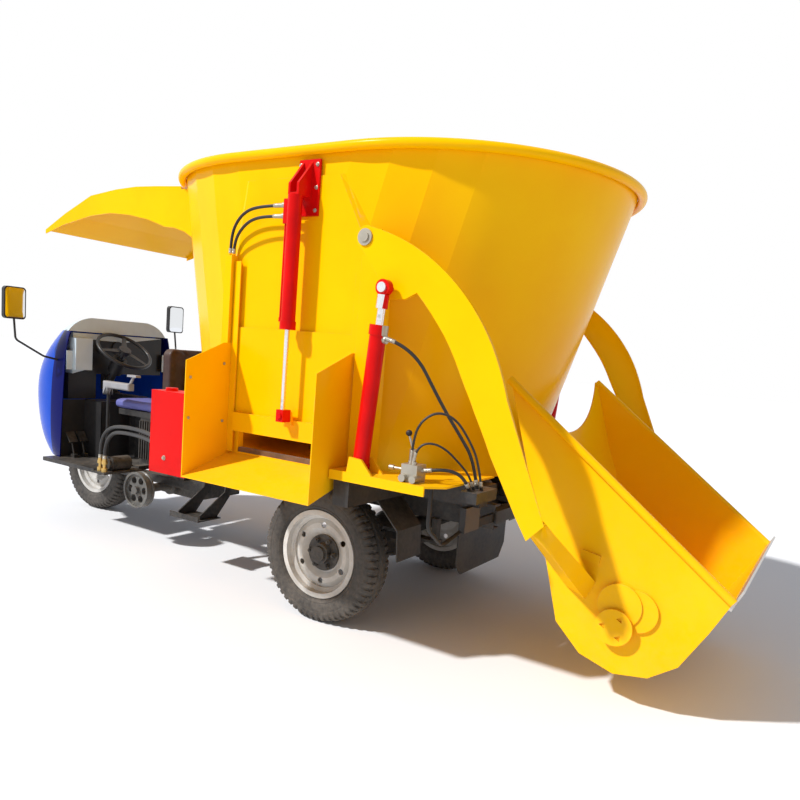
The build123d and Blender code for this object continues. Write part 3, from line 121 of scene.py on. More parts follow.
world = bpy.data.worlds.new("open_shade")
world.use_nodes = True
tree = world.node_tree
tree.nodes.clear()
rays = node(tree, "LightPath").outputs
seen = worked(tree, "MAXIMUM", worked(tree, "MAXIMUM", rays["Is Camera Ray"], rays["Is Glossy Ray"]),
              rays["Is Transmission Ray"])
sky = node(tree, "Background", {"Color": blended(tree, seen, SKY_TINT, WHITE),
                                "Strength": ranged(tree, seen, 0.0, 1.0, SKY_FILL, 1.0)})
node(tree, "OutputWorld", {"Surface": sky.outputs[0]})
bpy.context.scene.world = world

sun = bpy.data.lights.new("daylight", "SUN")
sun.energy = SUN_STRENGTH
sun.angle = math.radians(SUN_DEGREES)
lamp = bpy.data.objects.new("daylight", sun)
lamp.rotation_euler = SUN_FROM.to_track_quat("Z", "Y").to_euler()
bpy.context.scene.collection.objects.link(lamp)

floor_mesh = bpy.data.meshes.new("floor")
floor_mesh.from_pydata([(-FLOOR_HALF, -FLOOR_HALF, 0), (FLOOR_HALF, -FLOOR_HALF, 0),
                        (FLOOR_HALF, FLOOR_HALF, 0), (-FLOOR_HALF, FLOOR_HALF, 0)], [], [(0, 1, 2, 3)])
floor = bpy.data.objects.new("floor", floor_mesh)
bpy.context.scene.collection.objects.link(floor)
pale = bpy.data.materials.new("pale_floor")
pale.use_nodes = True
fill(pale.node_tree, pale.node_tree.nodes["Principled BSDF"],
     {"Base Color": FLOOR_COLOUR, "Roughness": 0.95, "Specular IOR Level": 0.1})
floor_mesh.materials.append(pale)


# The tyres: moulded rings of black road rubber, dulled by dry yard dust. Two
# zigzag grooves run round the tread, and open notches cut both its shoulders.

MIDDLE_Y = -0.056
AXLE_Z = 0.345
# Each wheel: how its nodes' names end, its axle's place, its middle, its outward side and its body.
WHEELS = (("rear_left", -0.60475, 0.576, 1, "rear_wheel_left"),
          ("rear_right", -0.60475, -0.688, -1, "rear_wheel_right"),
          ("front", 2.07525, MIDDLE_Y, 1, "front_wheel"))
PITCHES = 56
COLUMNS = 12
TREAD_HALF = 0.082
TREAD_ENDS_R = 0.2952
GROOVE_AT, GROOVE_SWING, GROOVE_HALF, GROOVE_DEEP, GROOVE_FADE = 0.0185, 0.0065, 0.0042, 0.009, 0.0022
SLOT_HALF, SLOT_DEEP, SLOT_FADE, SLOT_FROM, SLOT_TO = 0.10, 0.007, 0.06, 0.025, 0.050
NOTCH_HALF, NOTCH_DEEP, NOTCH_FADE, NOTCH_FROM, NOTCH_TO = 0.20, 0.010, 0.07, 0.047, 0.0855
LEAN, LEAN_FROM = 4.0, 0.030


def effect(name, inputs, outputs):
    """Starts a node group whose sockets have these names and kinds, and returns it with its two ends."""
    tree = bpy.data.node_groups.new(name, "ShaderNodeTree")
    kinds = {"colour": "NodeSocketColor", "value": "NodeSocketFloat"}
    for side, sockets in (("INPUT", inputs), ("OUTPUT", outputs)):
        for socket, kind in sockets.items():
            tree.interface.new_socket(socket, in_out=side, socket_type=kinds[kind])
    return tree, tree.nodes.new("NodeGroupInput").outputs, tree.nodes.new("NodeGroupOutput")


def noise(tree, place, scale, detail, roughness=0.5):
    """Soft random grey: as many lumps a metre as the scale says, with finer ones laid over them."""
    return node(tree, "TexNoise", {"Vector": place, "Scale": scale, "Detail": detail,
                                   "Roughness": roughness}).outputs[0]


def dusty_effect():
    """Dust: more of it low down and on faces that look up, broken by two sizes of noise. It mixes a colour
    towards the dust's own, and gives its mask."""
    tree, given, result = effect("yard_dust", {"Colour": "colour", "Dust Colour": "colour", "Top": "value",
                                               "Low": "value", "High": "value", "Even": "value"},
                                 {"Colour": "colour", "Dust": "value"})
    place = node(tree, "TexCoord").outputs["Object"]
    height = node(tree, "SeparateXYZ", {0: place}).outputs["Z"]
    facing = node(tree, "SeparateXYZ", {0: node(tree, "NewGeometry").outputs["Normal"]}).outputs["Z"]
    low = ranged(tree, height, given["High"], 0.0, 0.0, given["Low"])
    top = ranged(tree, facing, 0.35, 1.0, 0.0, given["Top"])
    amount = worked(tree, "ADD", worked(tree, "ADD", low, top), given["Even"])
    lumps = worked(tree, "ADD", noise(tree, place, 3.2, 6.0, 0.62), noise(tree, place, 41.0, 4.0, 0.7))
    dust = worked(tree, "MULTIPLY", amount, ranged(tree, lumps, 0.72, 1.3), held=True)
    fill(tree, result, {"Colour": blended(tree, dust, given["Colour"], given["Dust Colour"]), "Dust": dust})
    return tree


yard_dust = dusty_effect()


def dusted(tree, colour, dust_colour, amounts, height):
    """A colour under yard dust, and the dust's mask. The amounts are on top, low down and everywhere, and the
    one low down fades out at this height."""
    top, low, even = amounts
    made = node(tree, "Group", {"Colour": colour, "Dust Colour": dust_colour, "Top": top, "Low": low,
                                "High": height, "Even": even}, node_tree=yard_dust)
    return made.outputs["Colour"], made.outputs["Dust"]


def finish_of(name, metallic=0.0, coat=0.0, coat_roughness=0.1, specular=0.5):
    """Starts a material: its Principled shader with the values that don't change over the surface. It returns
    these, and the places on the object that the material's patterns read."""
    made = bpy.data.materials.new(name)
    made.use_nodes = True
    tree = made.node_tree
    shader = tree.nodes["Principled BSDF"]
    fill(tree, shader, {"Metallic": metallic, "Coat Weight": coat, "Coat Roughness": coat_roughness,
                        "Specular IOR Level": specular})
    return made, tree, shader, node(tree, "TexCoord").outputs["Object"]


def bump(tree, shader, height, strength, distance):
    """Raises the surface's shading by a height, in metres at full strength."""
    relief = node(tree, "Bump", {"Strength": strength, "Distance": distance, "Height": height})
    fill(tree, shader, {"Normal": relief.outputs[0]})


def rubber_finish():
    """Dusty rubber: near black, greyed by dust, with a fine pebbled grain."""
    made, tree, shader, place = finish_of("tyre_rubber", specular=0.3)
    tone = blended(tree, noise(tree, place, 9.0, 6.0), (0.018, 0.017, 0.016), (0.055, 0.050, 0.046))
    colour, dust = dusted(tree, tone, (0.21, 0.18, 0.15), (0.2, 0.35, 0.30), 0.5)
    fill(tree, shader, {"Base Color": colour, "Roughness": ranged(tree, dust, 0.0, 1.0, 0.62, 0.95)})
    bump(tree, shader, noise(tree, place, 260.0, 3.0), 0.25, 0.002)
    return made


def as_piece(name, mesh, finish, body, smooth_below):
    """Makes a piece of a mesh: one finish, smooth below an angle between faces, in degrees, and on a body."""
    mesh.materials.clear()
    mesh.materials.append(finish)
    mesh.shade_smooth()
    mesh.set_sharp_from_angle(angle=math.radians(smooth_below))
    made = bpy.data.objects.new(name, mesh)
    bpy.context.scene.collection.objects.link(made)
    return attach(made, body)


def tyre_section():
    """The tyre's closed section: places across, radii, and one where the tread is cut. It runs down the
    tread, the side wall and the bead, then back along the lining."""
    tread = np.linspace(0, TREAD_HALF, 28)
    crown = np.interp(tread, (0, 0.040, 0.066, 0.074, 0.079, TREAD_HALF),
                      (0.345, 0.3432, 0.3355, 0.329, 0.321, 0.311))
    wall = np.array([(0.0845, 0.302), (0.0858, 0.296), (0.0860, 0.290), (0.0848, 0.2885), (0.0856, 0.286),
                     (0.0860, 0.276), (0.0857, 0.262), (0.0835, 0.252), (0.0800, 0.244), (0.0815, 0.241),
                     (0.0760, 0.234), (0.0700, 0.2275), (0.0637, 0.224), (0.0637, 0.2033)])
    lining = np.array([(0.050, 0.2033), (0.050, 0.228), (0.074, 0.266), (0.074, 0.292), (0.062, 0.312),
                       (0.034, 0.322), (0.0, 0.324)])
    outside = np.concatenate([np.column_stack([tread, crown]), wall])
    half = np.concatenate([np.column_stack([outside, outside[:, 1] > TREAD_ENDS_R]),
                           np.column_stack([lining, np.zeros(len(lining))])])
    return np.concatenate([half, half[1:-1][::-1] * (-1, 1, 1)])


def within(depth, fade):
    """One well inside a cut, nought well outside, a half at its edge; depth is how far inside that edge."""
    return np.clip(depth / fade + 0.5, 0, 1)


def tread_cut(turn, across):
    """How deep the tread is cut, in metres. Two zigzag grooves run round. Between each and its shoulder a
    narrow slot, then an open notch that runs down the wall, repeat once a pitch, half a pitch apart on the
    two sides."""
    side = np.abs(across)
    pitch = (turn + np.where(across > 0, 0.5, 0.0) + LEAN * np.clip(side - LEAN_FROM, 0, 1)) % 1.0
    from_cut = np.abs(pitch - 0.5)
    zigzag = GROOVE_AT + GROOVE_SWING * np.abs(2 * (turn % 1.0) - 1)
    groove = GROOVE_DEEP * within(GROOVE_HALF - np.abs(side - zigzag), GROOVE_FADE)
    slot = SLOT_DEEP * within(SLOT_HALF - from_cut, SLOT_FADE) * (side > SLOT_FROM) * (side < SLOT_TO)
    notch = NOTCH_DEEP * within(NOTCH_HALF - from_cut, NOTCH_FADE)
    notch = notch * np.clip((side - NOTCH_FROM) / 0.004, 0, 1) * np.clip((NOTCH_TO - side) / 0.006, 0, 1)
    return np.maximum(np.maximum(groove, slot), notch)


def tyre_piece(name, centre, body):
    """A whole tyre about its axle: the section swept round, each radius less the tread's cut there."""
    across, radius, is_cut = tyre_section().T
    turn = np.arange(PITCHES * COLUMNS)[:, None] / COLUMNS
    radius = radius - is_cut * tread_cut(turn, across)
    angle = turn * 2 * np.pi / PITCHES
    points = np.stack([radius * np.cos(angle), across + 0 * radius, radius * np.sin(angle)], -1)
    here = np.arange(radius.size).reshape(radius.shape)
    beside = np.roll(here, -1, axis=1)
    quads = np.stack([here, beside, np.roll(beside, -1, axis=0), np.roll(here, -1, axis=0)], -1)
    mesh = bpy.data.meshes.new(name)
    mesh.from_pydata((points.reshape(-1, 3) + centre).tolist(), [], quads.reshape(-1, 4).tolist())
    return as_piece(name, mesh, tyre_rubber, body, 38)


tyre_rubber = rubber_finish()
for wheel, axle_x, middle_y, _, body in WHEELS:
    tread = tyre_piece("treaded_tyre_" + wheel, (axle_x, middle_y, AXLE_Z), body)
    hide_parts("tyre_" + wheel)


# The wheel rims and hubs: pressed steel in silver-white enamel, brown with
# dust round the bolts; the hubs are cast iron painted black.

DUST = (0.46, 0.40, 0.33)
DUST_HEIGHT = 1.1
WORN_WIDTH = 0.004
HUB_R, BOSS_R = 0.0935, 0.0455
DISC_OUTSIDE, DISC_INSIDE = 0.0112, 0.0035


def worn_edge_effect():
    """Edge wear: where the surface's normal parts from one softened by a small bevel, broken up by noise."""
    tree, given, result = effect("worn_edges", {"Width": "value", "Amount": "value"}, {"Edge": "value"})
    soft = node(tree, "Bevel", {"Radius": given["Width"]}, samples=4).outputs[0]
    true = node(tree, "NewGeometry").outputs["Normal"]
    match = node(tree, "VectorMath", {0: soft, 1: true}, operation="DOT_PRODUCT").outputs["Value"]
    broken = ranged(tree, noise(tree, node(tree, "TexCoord").outputs["Object"], 27.0, 5.0, 0.7), 0.46, 0.62)
    edge = worked(tree, "MULTIPLY", ranged(tree, match, 0.99, 0.80), broken)
    fill(tree, result, {"Edge": worked(tree, "MULTIPLY", edge, given["Amount"], held=True)})
    return tree


worn_edges = worn_edge_effect()


def painted_steel(name, paint, shade, bare, wear, dust, gloss=0.32, peel=0.10, scale=4.0, coat=0.06,
                  specular=0.28):
    """Sprayed paint: a cloudy colour between the paint and its shade, edges worn to the bare colour, dust on
    top, low down and everywhere, and a faint orange peel. Worn and dusty places are dull."""
    made, tree, shader, place = finish_of(name, coat=coat, coat_roughness=0.12, specular=specular)
    cloud = ranged(tree, noise(tree, place, scale, 5.0, 0.6), 0.35, 0.68)
    edge = node(tree, "Group", {"Width": WORN_WIDTH, "Amount": wear}, node_tree=worn_edges).outputs["Edge"]
    worn = blended(tree, edge, blended(tree, cloud, paint, shade), bare)
    colour, mask = dusted(tree, worn, DUST, dust, DUST_HEIGHT)
    dull = worked(tree, "MAXIMUM", mask, edge)
    fill(tree, shader, {"Base Color": colour, "Roughness": ranged(tree, dull, 0.0, 1.0, gloss, 0.85)})
    bump(tree, shader, noise(tree, place, 95.0, 2.0), peel, 0.002)
    return made


rim_enamel = painted_steel("rim_enamel", (0.66, 0.65, 0.62), (0.42, 0.40, 0.37), (0.13, 0.08, 0.05), 0.5,
                           (0.3, 0.5, 0.16), gloss=0.38, scale=7.0)
cast_iron = painted_steel("black_cast_iron", (0.014, 0.014, 0.015), (0.030, 0.028, 0.027), (0.13, 0.11, 0.09),
                          0.4, (0.28, 0.20, 0.06), gloss=0.45, peel=0.35, scale=11.0)


def part_dress(name, *choices):
    """Gives a CAD node several finishes. Each choice is a finish and a rule that says, from the arrays of its
    faces' middles, which faces have it; a later choice wins over an earlier one."""
    mesh = nodes[name].data
    mesh.materials.clear()
    middles = np.empty(len(mesh.polygons) * 3)
    mesh.polygons.foreach_get("center", middles)
    x, y, z = middles.reshape(-1, 3).T
    slots = np.zeros(len(mesh.polygons), dtype=np.int32)
    for index, (finish, rule) in enumerate(choices):
        mesh.materials.append(finish)
        slots[rule(x, y, z)] = index
    mesh.polygons.foreach_set("material_index", slots)
    mesh.update()


def everywhere(x, y, z):
    """Every face."""
    return np.ones(len(x), dtype=bool)


def hub_rule(axle_x, middle_y, outward):
    """The rule for one hub: near the axle's line, outside the disc, or inside it on a narrower boss."""
    def on_hub(x, y, z):
        """The faces that keep to both radii."""
        from_axle = np.hypot(x - axle_x, z - AXLE_Z)
        out = (y - middle_y) * outward
        return (from_axle < HUB_R) & ((out > DISC_OUTSIDE) | ((out < DISC_INSIDE) & (from_axle < BOSS_R)))
    return on_hub


for wheel, axle_x, middle_y, outward, _ in WHEELS:
    part_dress("wheel_" + wheel, (rim_enamel, everywhere), (cast_iron, hub_rule(axle_x, middle_y, outward)))


# The running gear: rear axle, leaf springs, fork, frame rails and subframe in
# black chassis paint, greyed by road dust. The engine's pulley is bare cast iron.

def dress(finish, *names):
    """Gives CAD nodes one finish in place of the plain one that they came with."""
    for name in names:
        nodes[name].data.materials.clear()
        nodes[name].data.materials.append(finish)


chassis_black = painted_steel("chassis_black", (0.010, 0.0105, 0.012), (0.020, 0.0195, 0.020),
                              (0.10, 0.075, 0.055), 0.5, (0.20, 0.14, 0.03), gloss=0.36, scale=6.0)
dress(chassis_black, "front_fork", "chassis_frame", "rear_axle", "leaf_springs", "subframe", "battery_box",
      "rear_fenders")
dress(cast_iron, "engine", "auger_gearbox")
cast_grey = painted_steel("cast_grey", (0.115, 0.113, 0.105), (0.075, 0.073, 0.068), (0.42, 0.41, 0.39), 0.9,
                          (0.15, 0.1, 0.04), gloss=0.40, peel=0.4, scale=12.0)
dress(cast_grey, "engine_pulley")


# The mixing tub and its plate work: sheet steel bent, welded and sprayed in one
# bright yellow. Welded strips close the side plates' sloping upper edges to the
# shell, and a worn brown sill lies across the bottom of the door's throat.

PLATE_OUT, PLATE_TOP_OUT = 0.9271, 0.9170
STRIP_THICK = 0.006
TOP_REACH = 0.3
# Each slope: its lower and its upper end, its reach at the foot, and the shell's half width there.
SLOPES = ((-0.94975, 1.760, -0.76175, 2.098, -0.105, 0.850), (-0.13475, 1.460, -0.23275, 2.098, 0.070, 0.889))
SILL_LIMITS = (-0.9175, -0.2520, 0.846, 0.869, 0.8285, 0.850)
BLOCK_FACES = np.array([(3, 2, 1, 0), (4, 5, 6, 7), (0, 1, 5, 4), (1, 2, 6, 5), (2, 3, 7, 6), (3, 0, 4, 7)])

yellow_paint = painted_steel("yellow_paint", (0.98, 0.53, 0.0), (0.96, 0.475, 0.0), (0.34, 0.27, 0.18), 0.35,
                             (0.03, 0.08, 0.0), gloss=0.24, scale=2.2, coat=0.0, specular=0.07)
dress(yellow_paint, "tub", "tub_rim", "side_plates", "door_guides", "door", "chute", "bucket", "canopy")


def gather(name, finish, body, lumps, smooth_below=35):
    """One piece from several lumps. Each is its points and its arrays of faces, whose numbers run on from the
    points of the lumps before."""
    firsts = np.cumsum([0] + [len(points) for points, _ in lumps])
    faces = [face for first, (_, groups) in zip(firsts, lumps) for group in groups
             for face in (group + first).tolist()]
    mesh = bpy.data.meshes.new(name)
    mesh.from_pydata(np.concatenate([points for points, _ in lumps]).tolist(), [], faces)
    return as_piece(name, mesh, finish, body, smooth_below)


def block(corners):
    """A six-sided lump from eight corners, four round one end and four round the other, faces outwards."""
    points = np.array(corners, float)
    outwards = np.dot(np.cross(points[1] - points[0], points[3] - points[0]), points[4] - points[0]) >= 0
    return points, [BLOCK_FACES if outwards else BLOCK_FACES[:, ::-1]]


def slab(x0, x1, y0, y1, z0, z1):
    """A right-angled block between these limits."""
    return block([(x0, y0, z0), (x1, y0, z0), (x1, y1, z0), (x0, y1, z0),
                  (x0, y0, z1), (x1, y0, z1), (x1, y1, z1), (x0, y1, z1)])


strips = []
for side in (1, -1):
    for x0, z0, x1, z1, reach, shell in SLOPES:
        out, near, top = (side * half + MIDDLE_Y for half in (PLATE_OUT, shell, PLATE_TOP_OUT))
        outline = [(x0, out, z0), (x1, out, z1), (x1 + reach * TOP_REACH, top, z1), (x0 + reach, near, z0)]
        strips.append(block(outline + [(x, y - STRIP_THICK * side, z) for x, y, z in outline]))
gather("plate_strips", yellow_paint, "chassis", strips)
sill_steel = painted_steel("worn_sill", (0.16, 0.075, 0.030), (0.10, 0.050, 0.025), (0.30, 0.26, 0.22), 0.8,
                           (0.3, 0.2, 0.1), gloss=0.5, peel=0.4, scale=12.0)
gather("throat_sill", sill_steel, "chassis", [slab(*SILL_LIMITS)])


# The auger and the bucket's cutting edge: steel rubbed bright by feed, with
# fine scratches along it.

RUST = (0.20, 0.12, 0.07)
SCRATCHES = (160.0, 12.0, 30.0)


def rubbed_steel(name, colour, rough):
    """Bare steel: its gloss and relief follow fine noise drawn out one way, and rust spots its colour."""
    made, tree, shader, place = finish_of(name, metallic=0.85)
    drawn = node(tree, "Mapping", {"Vector": place, "Scale": SCRATCHES}).outputs[0]
    scratch = noise(tree, drawn, 2.0, 5.0, 0.7)
    spots = ranged(tree, noise(tree, place, 8.0, 7.0, 0.7), 0.58, 0.75)
    fill(tree, shader, {"Base Color": blended(tree, spots, colour, RUST),
                        "Roughness": ranged(tree, scratch, 0.3, 0.7, rough - 0.1, rough + 0.2)})
    bump(tree, shader, scratch, 0.12, 0.001)
    return made


worn_steel = rubbed_steel("worn_steel", (0.55, 0.53, 0.50), 0.38)
dress(worn_steel, "auger", "cutting_edge")


# The loading arms: flame-cut steel arcs whose lower ends narrow to a fold, where
# the cranked bar starts; sprayed with the rest of the plate work.

# The bar's sections at its ends, each four places along the machine and up.
BAR_AT_ARM = np.array([(-1.75475, 0.840), (-1.86675, 0.775), (-1.84275, 0.695), (-1.72475, 0.735)])
BAR_AT_BUCKET = np.array([(-1.85475, 0.600), (-1.96075, 0.560), (-1.93475, 0.425), (-1.82975, 0.465)])
BAR_NARROWED = np.array([(-1.8788, 0.570), (-1.9558, 0.506), (-1.9198, 0.425), (-1.8348, 0.462)])
# The arm's two edges, and their shifts along the machine and up: heights, then what belongs to them.
ARM_BACK = ((0.742, 1.220), (-1.8668, -1.6688))
ARM_FRONT = ((0.700, 0.800, 1.262, 1.600), (-1.7248, -1.6548, -1.4978, -1.2448))
BACK_SHIFT = ((0.742, 0.800), (0.007, 0.0))
FRONT_SHIFT = ((0.700, 0.800, 0.900, 1.000, 1.150, 1.280, 1.420),
               (-0.072, -0.090, -0.056, -0.021, 0.006, 0.012, 0.0))
BACK_LIFT = ((0.742, 0.800), (0.044, 0.0))
FRONT_LIFT = ((0.700, 0.800), (0.019, 0.0))
ARM_INNER, ARM_BEND_TOP = 0.9667, 1.45
BAR_INNER, BAR_SPAN = 0.6035, 0.4088


def arm_shift(x, z):
    """How far a point of the arm moves in the arm's plane. Its share across the arm is nought at the back
    edge and one at the front: it takes that share of the front edge's shift, and the rest of the back's."""
    back, front = np.interp(z, *ARM_BACK), np.interp(z, *ARM_FRONT)
    share = np.clip((x - back) / (front - back), 0, 1)
    across = share * np.interp(z, *FRONT_SHIFT) + (1 - share) * np.interp(z, *BACK_SHIFT)
    lift = share * np.interp(z, *FRONT_LIFT) + (1 - share) * np.interp(z, *BACK_LIFT)
    return np.column_stack([across, lift])


def in_section(points, was, now):
    """Carries each point from its old four-cornered section to its new one: its shares along the two sides
    that meet in the first corner stay, and the corner opposite gives its shift in proportion to both."""
    a, b, c, d = was.transpose(1, 0, 2)
    e, f, g, h = now.transpose(1, 0, 2)

    def shares(place):
        """A place's shares of the sides from the first corner to the second and to the fourth."""
        gap, one, two = place - a, b - a, d - a
        area = one[:, 0] * two[:, 1] - one[:, 1] * two[:, 0]
        return (((gap[:, 0] * two[:, 1] - gap[:, 1] * two[:, 0]) / area)[:, None],
                ((one[:, 0] * gap[:, 1] - one[:, 1] * gap[:, 0]) / area)[:, None])

    s, t = shares(points)
    s_far, t_far = shares(c)
    missed = g - (e + s_far * (f - e) + t_far * (h - e))
    return e + s * (f - e) + t * (h - e) + missed * (s * t) / (s_far * t_far)


def narrowed_arms():
    """The arms with their lower ends drawn in, and their bars carried from the old sections to the new."""
    mesh = nodes["lift_arms"].data.copy()
    edit = bmesh.new()
    edit.from_mesh(mesh)
    bmesh.ops.remove_doubles(edit, verts=edit.verts, dist=1e-5)
    edit.to_mesh(mesh)
    edit.free()
    at = np.empty(len(mesh.vertices) * 3)
    mesh.vertices.foreach_get("co", at)
    at = at.reshape(-1, 3)
    flat = at[:, 0::2].copy()
    out = np.abs(at[:, 1] - MIDDLE_Y)
    low = (out > ARM_INNER) & (flat[:, 1] < ARM_BEND_TOP)
    at[low, 0::2] += arm_shift(flat[low, 0], flat[low, 1])
    bar = out <= ARM_INNER
    along = ((out[bar] - BAR_INNER) / BAR_SPAN)[:, None, None]
    was = along * BAR_AT_ARM + (1 - along) * BAR_AT_BUCKET
    now = along * (BAR_AT_ARM + arm_shift(*BAR_AT_ARM.T)) + (1 - along) * BAR_NARROWED
    at[bar, 0::2] = in_section(flat[bar], was, now)
    mesh.vertices.foreach_set("co", at.ravel())
    return as_piece("curved_arms", mesh, yellow_paint, "loading_arms", 20)


arms = narrowed_arms()
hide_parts("lift_arms")


# The hydraulic cylinders: red enamelled tubes with zinc-plated ports, their
# piston rods hard chrome. The red tank holds the oil for all three.

EYE_Z, PIN_OUT = 1.528, 1.079
CLEVIS_TOP = 1.0705
LIFT_PORT = (-1.1428, 1.30)
DOOR_PORT = (-0.5365, 1.89)

red_enamel = painted_steel("red_enamel", (0.74, 0.004, 0.003), (0.58, 0.003, 0.003), (0.20, 0.10, 0.08), 0.35,
                           (0.03, 0.03, 0.0), gloss=0.30, scale=5.0, coat=0.0, specular=0.12)
chrome = rubbed_steel("hard_chrome", (0.80, 0.80, 0.81), 0.16)
plated = painted_steel("zinc_plate", (0.46, 0.43, 0.36), (0.36, 0.33, 0.27), (0.20, 0.15, 0.10), 0.5,
                       (0.2, 0.1, 0.08), gloss=0.34, scale=14.0)
plated.node_tree.nodes["Principled BSDF"].inputs["Metallic"].default_value = 0.7
dress(red_enamel, "lift_cylinder_right", "door_cylinder_bracket", "hydraulic_tank")
part_dress("lift_cylinder_left", (red_enamel, everywhere),
           (plated, lambda x, y, z: (x < LIFT_PORT[0]) & (z > LIFT_PORT[1])))
part_dress("door_cylinder", (red_enamel, everywhere),
           (plated, lambda x, y, z: (x > DOOR_PORT[0]) & (z > DOOR_PORT[1])))
part_dress("door_rod", (chrome, everywhere), (red_enamel, lambda x, y, z: z < CLEVIS_TOP))
for side in ("left", "right"):
    part_dress("lift_rod_" + side, (chrome, everywhere),
               (red_enamel, lambda x, y, z: (z > EYE_Z) & (np.abs(y - MIDDLE_Y) < PIN_OUT)))


# Fastenings: hexagon bolts with washers hold the door cylinder's bracket and the
# chute's wall, and a plug closes the oil tank; all are zinc plated.

LEFT, REAR = (0, 1, 0), (-1, 0, 0)
BRACKET_BOLT, CHUTE_BOLT, TANK_PLUG = 0.0068, 0.0055, 0.0095
PIVOT_OUT, PIVOT_Z = 1.0157, 1.75


def rings_joined(rings, sides):
    """The four-cornered faces between rings of so many points, and the flats that close the two ends."""
    here = np.arange(sides)
    after = (here + 1) % sides
    rows = np.arange(rings - 1)[:, None] * sides
    quads = np.stack([here + rows, after + rows, after + rows + sides, here + rows + sides], -1)
    return [here[None, ::-1], here[None] + (rings - 1) * sides, quads.reshape(-1, 4)]


def turned(start, towards, profile, sides=20):
    """A turned lump: pairs of distance along its line and radius, swept round it, a flat at each end."""
    start = np.asarray(start, float)
    axis = np.asarray(towards, float) - start
    axis /= np.linalg.norm(axis)
    side = np.cross(axis, (0.0, 0.0, 1.0) if abs(axis[2]) < 0.9 else (1.0, 0.0, 0.0))
    side /= np.linalg.norm(side)
    other = np.cross(axis, side)
    turn = np.arange(sides) * 2 * np.pi / sides
    ring = np.outer(np.cos(turn), side) + np.outer(np.sin(turn), other)
    profile = np.asarray(profile, float)
    points = start + profile[:, 0, None, None] * axis + profile[:, 1, None, None] * ring
    return points.reshape(-1, 3), rings_joined(len(profile), sides)


def bolt(place, outward, size):
    """A hexagon head on its washer, outwards from the face it holds; lengths are shares of its radius."""
    place, outward = np.asarray(place, float), np.asarray(outward, float)
    washer = turned(place, place + outward,
                    ((0, size * 1.35), (size * 0.18, size * 1.35), (size * 0.24, size * 1.25)), 16)
    head = turned(place + outward * size * 0.2, place + outward,
                  ((0, size), (size * 0.62, size), (size * 0.78, size * 0.86)), 6)
    return [washer, head]


fasteners = []
for x in (-0.6458, -0.5530):
    for z in (1.948, 2.045, 2.142):
        fasteners += bolt((x, 0.8833, z), LEFT, BRACKET_BOLT)
for y, z in ((0.936, 1.247), (1.138, 1.179), (1.141, 0.994), (0.932, 0.973)):
    fasteners += bolt((-0.1968, y, z), REAR, CHUTE_BOLT)
fasteners += bolt((0.2751, 0.8733, 0.7189), LEFT, TANK_PLUG)
bolts = gather("bolts", plated, "chassis", fasteners)
part_dress("arm_posts", (yellow_paint, everywhere),
           (plated, lambda x, y, z: (np.abs(y - MIDDLE_Y) > PIVOT_OUT) & (z > PIVOT_Z)))


# The hoses: black rubber over braid, each running free from its fitting to its
# end on the machine, with a plated collar crimped on at both ends. The valve
# that they meet at is plated, and the engine's oil pump is cast iron and brass.

CRIMP_WALL, CRIMP_WAIST, CRIMP_END = 0.0022, 0.0008, 0.001
LEVER_Z = 1.034
PUMP_FITTING = (0.5045, 0.4615)


def hose_finish():
    """Hose rubber: black with a soft shine and a fine moulded cloth mark wound round it, dusty on top."""
    made, tree, shader, place = finish_of("hose_rubber", specular=0.4)
    weave = node(tree, "TexWave", {"Vector": place, "Scale": 420.0, "Distortion": 1.5}).outputs[1]
    colour, dust = dusted(tree, (0.012, 0.012, 0.013), (0.20, 0.18, 0.16), (0.25, 0.1, 0.05), 1.2)
    fill(tree, shader, {"Base Color": colour, "Roughness": ranged(tree, dust, 0.0, 1.0, 0.38, 0.9)})
    bump(tree, shader, weave, 0.15, 0.0006)
    return made


def crimped(diameter):
    """A collar's profile over a hose: a tube a little wider than the hose, with a narrow waist half way."""
    wide = diameter / 2 + CRIMP_WALL
    waist = wide - CRIMP_WAIST
    return ((-0.001, wide * 0.9), (0.001, wide), (0.009, wide), (0.010, waist), (0.012, waist), (0.013, wide),
            (0.021, wide), (0.023, wide - CRIMP_END))


hose_rubber = hose_finish()
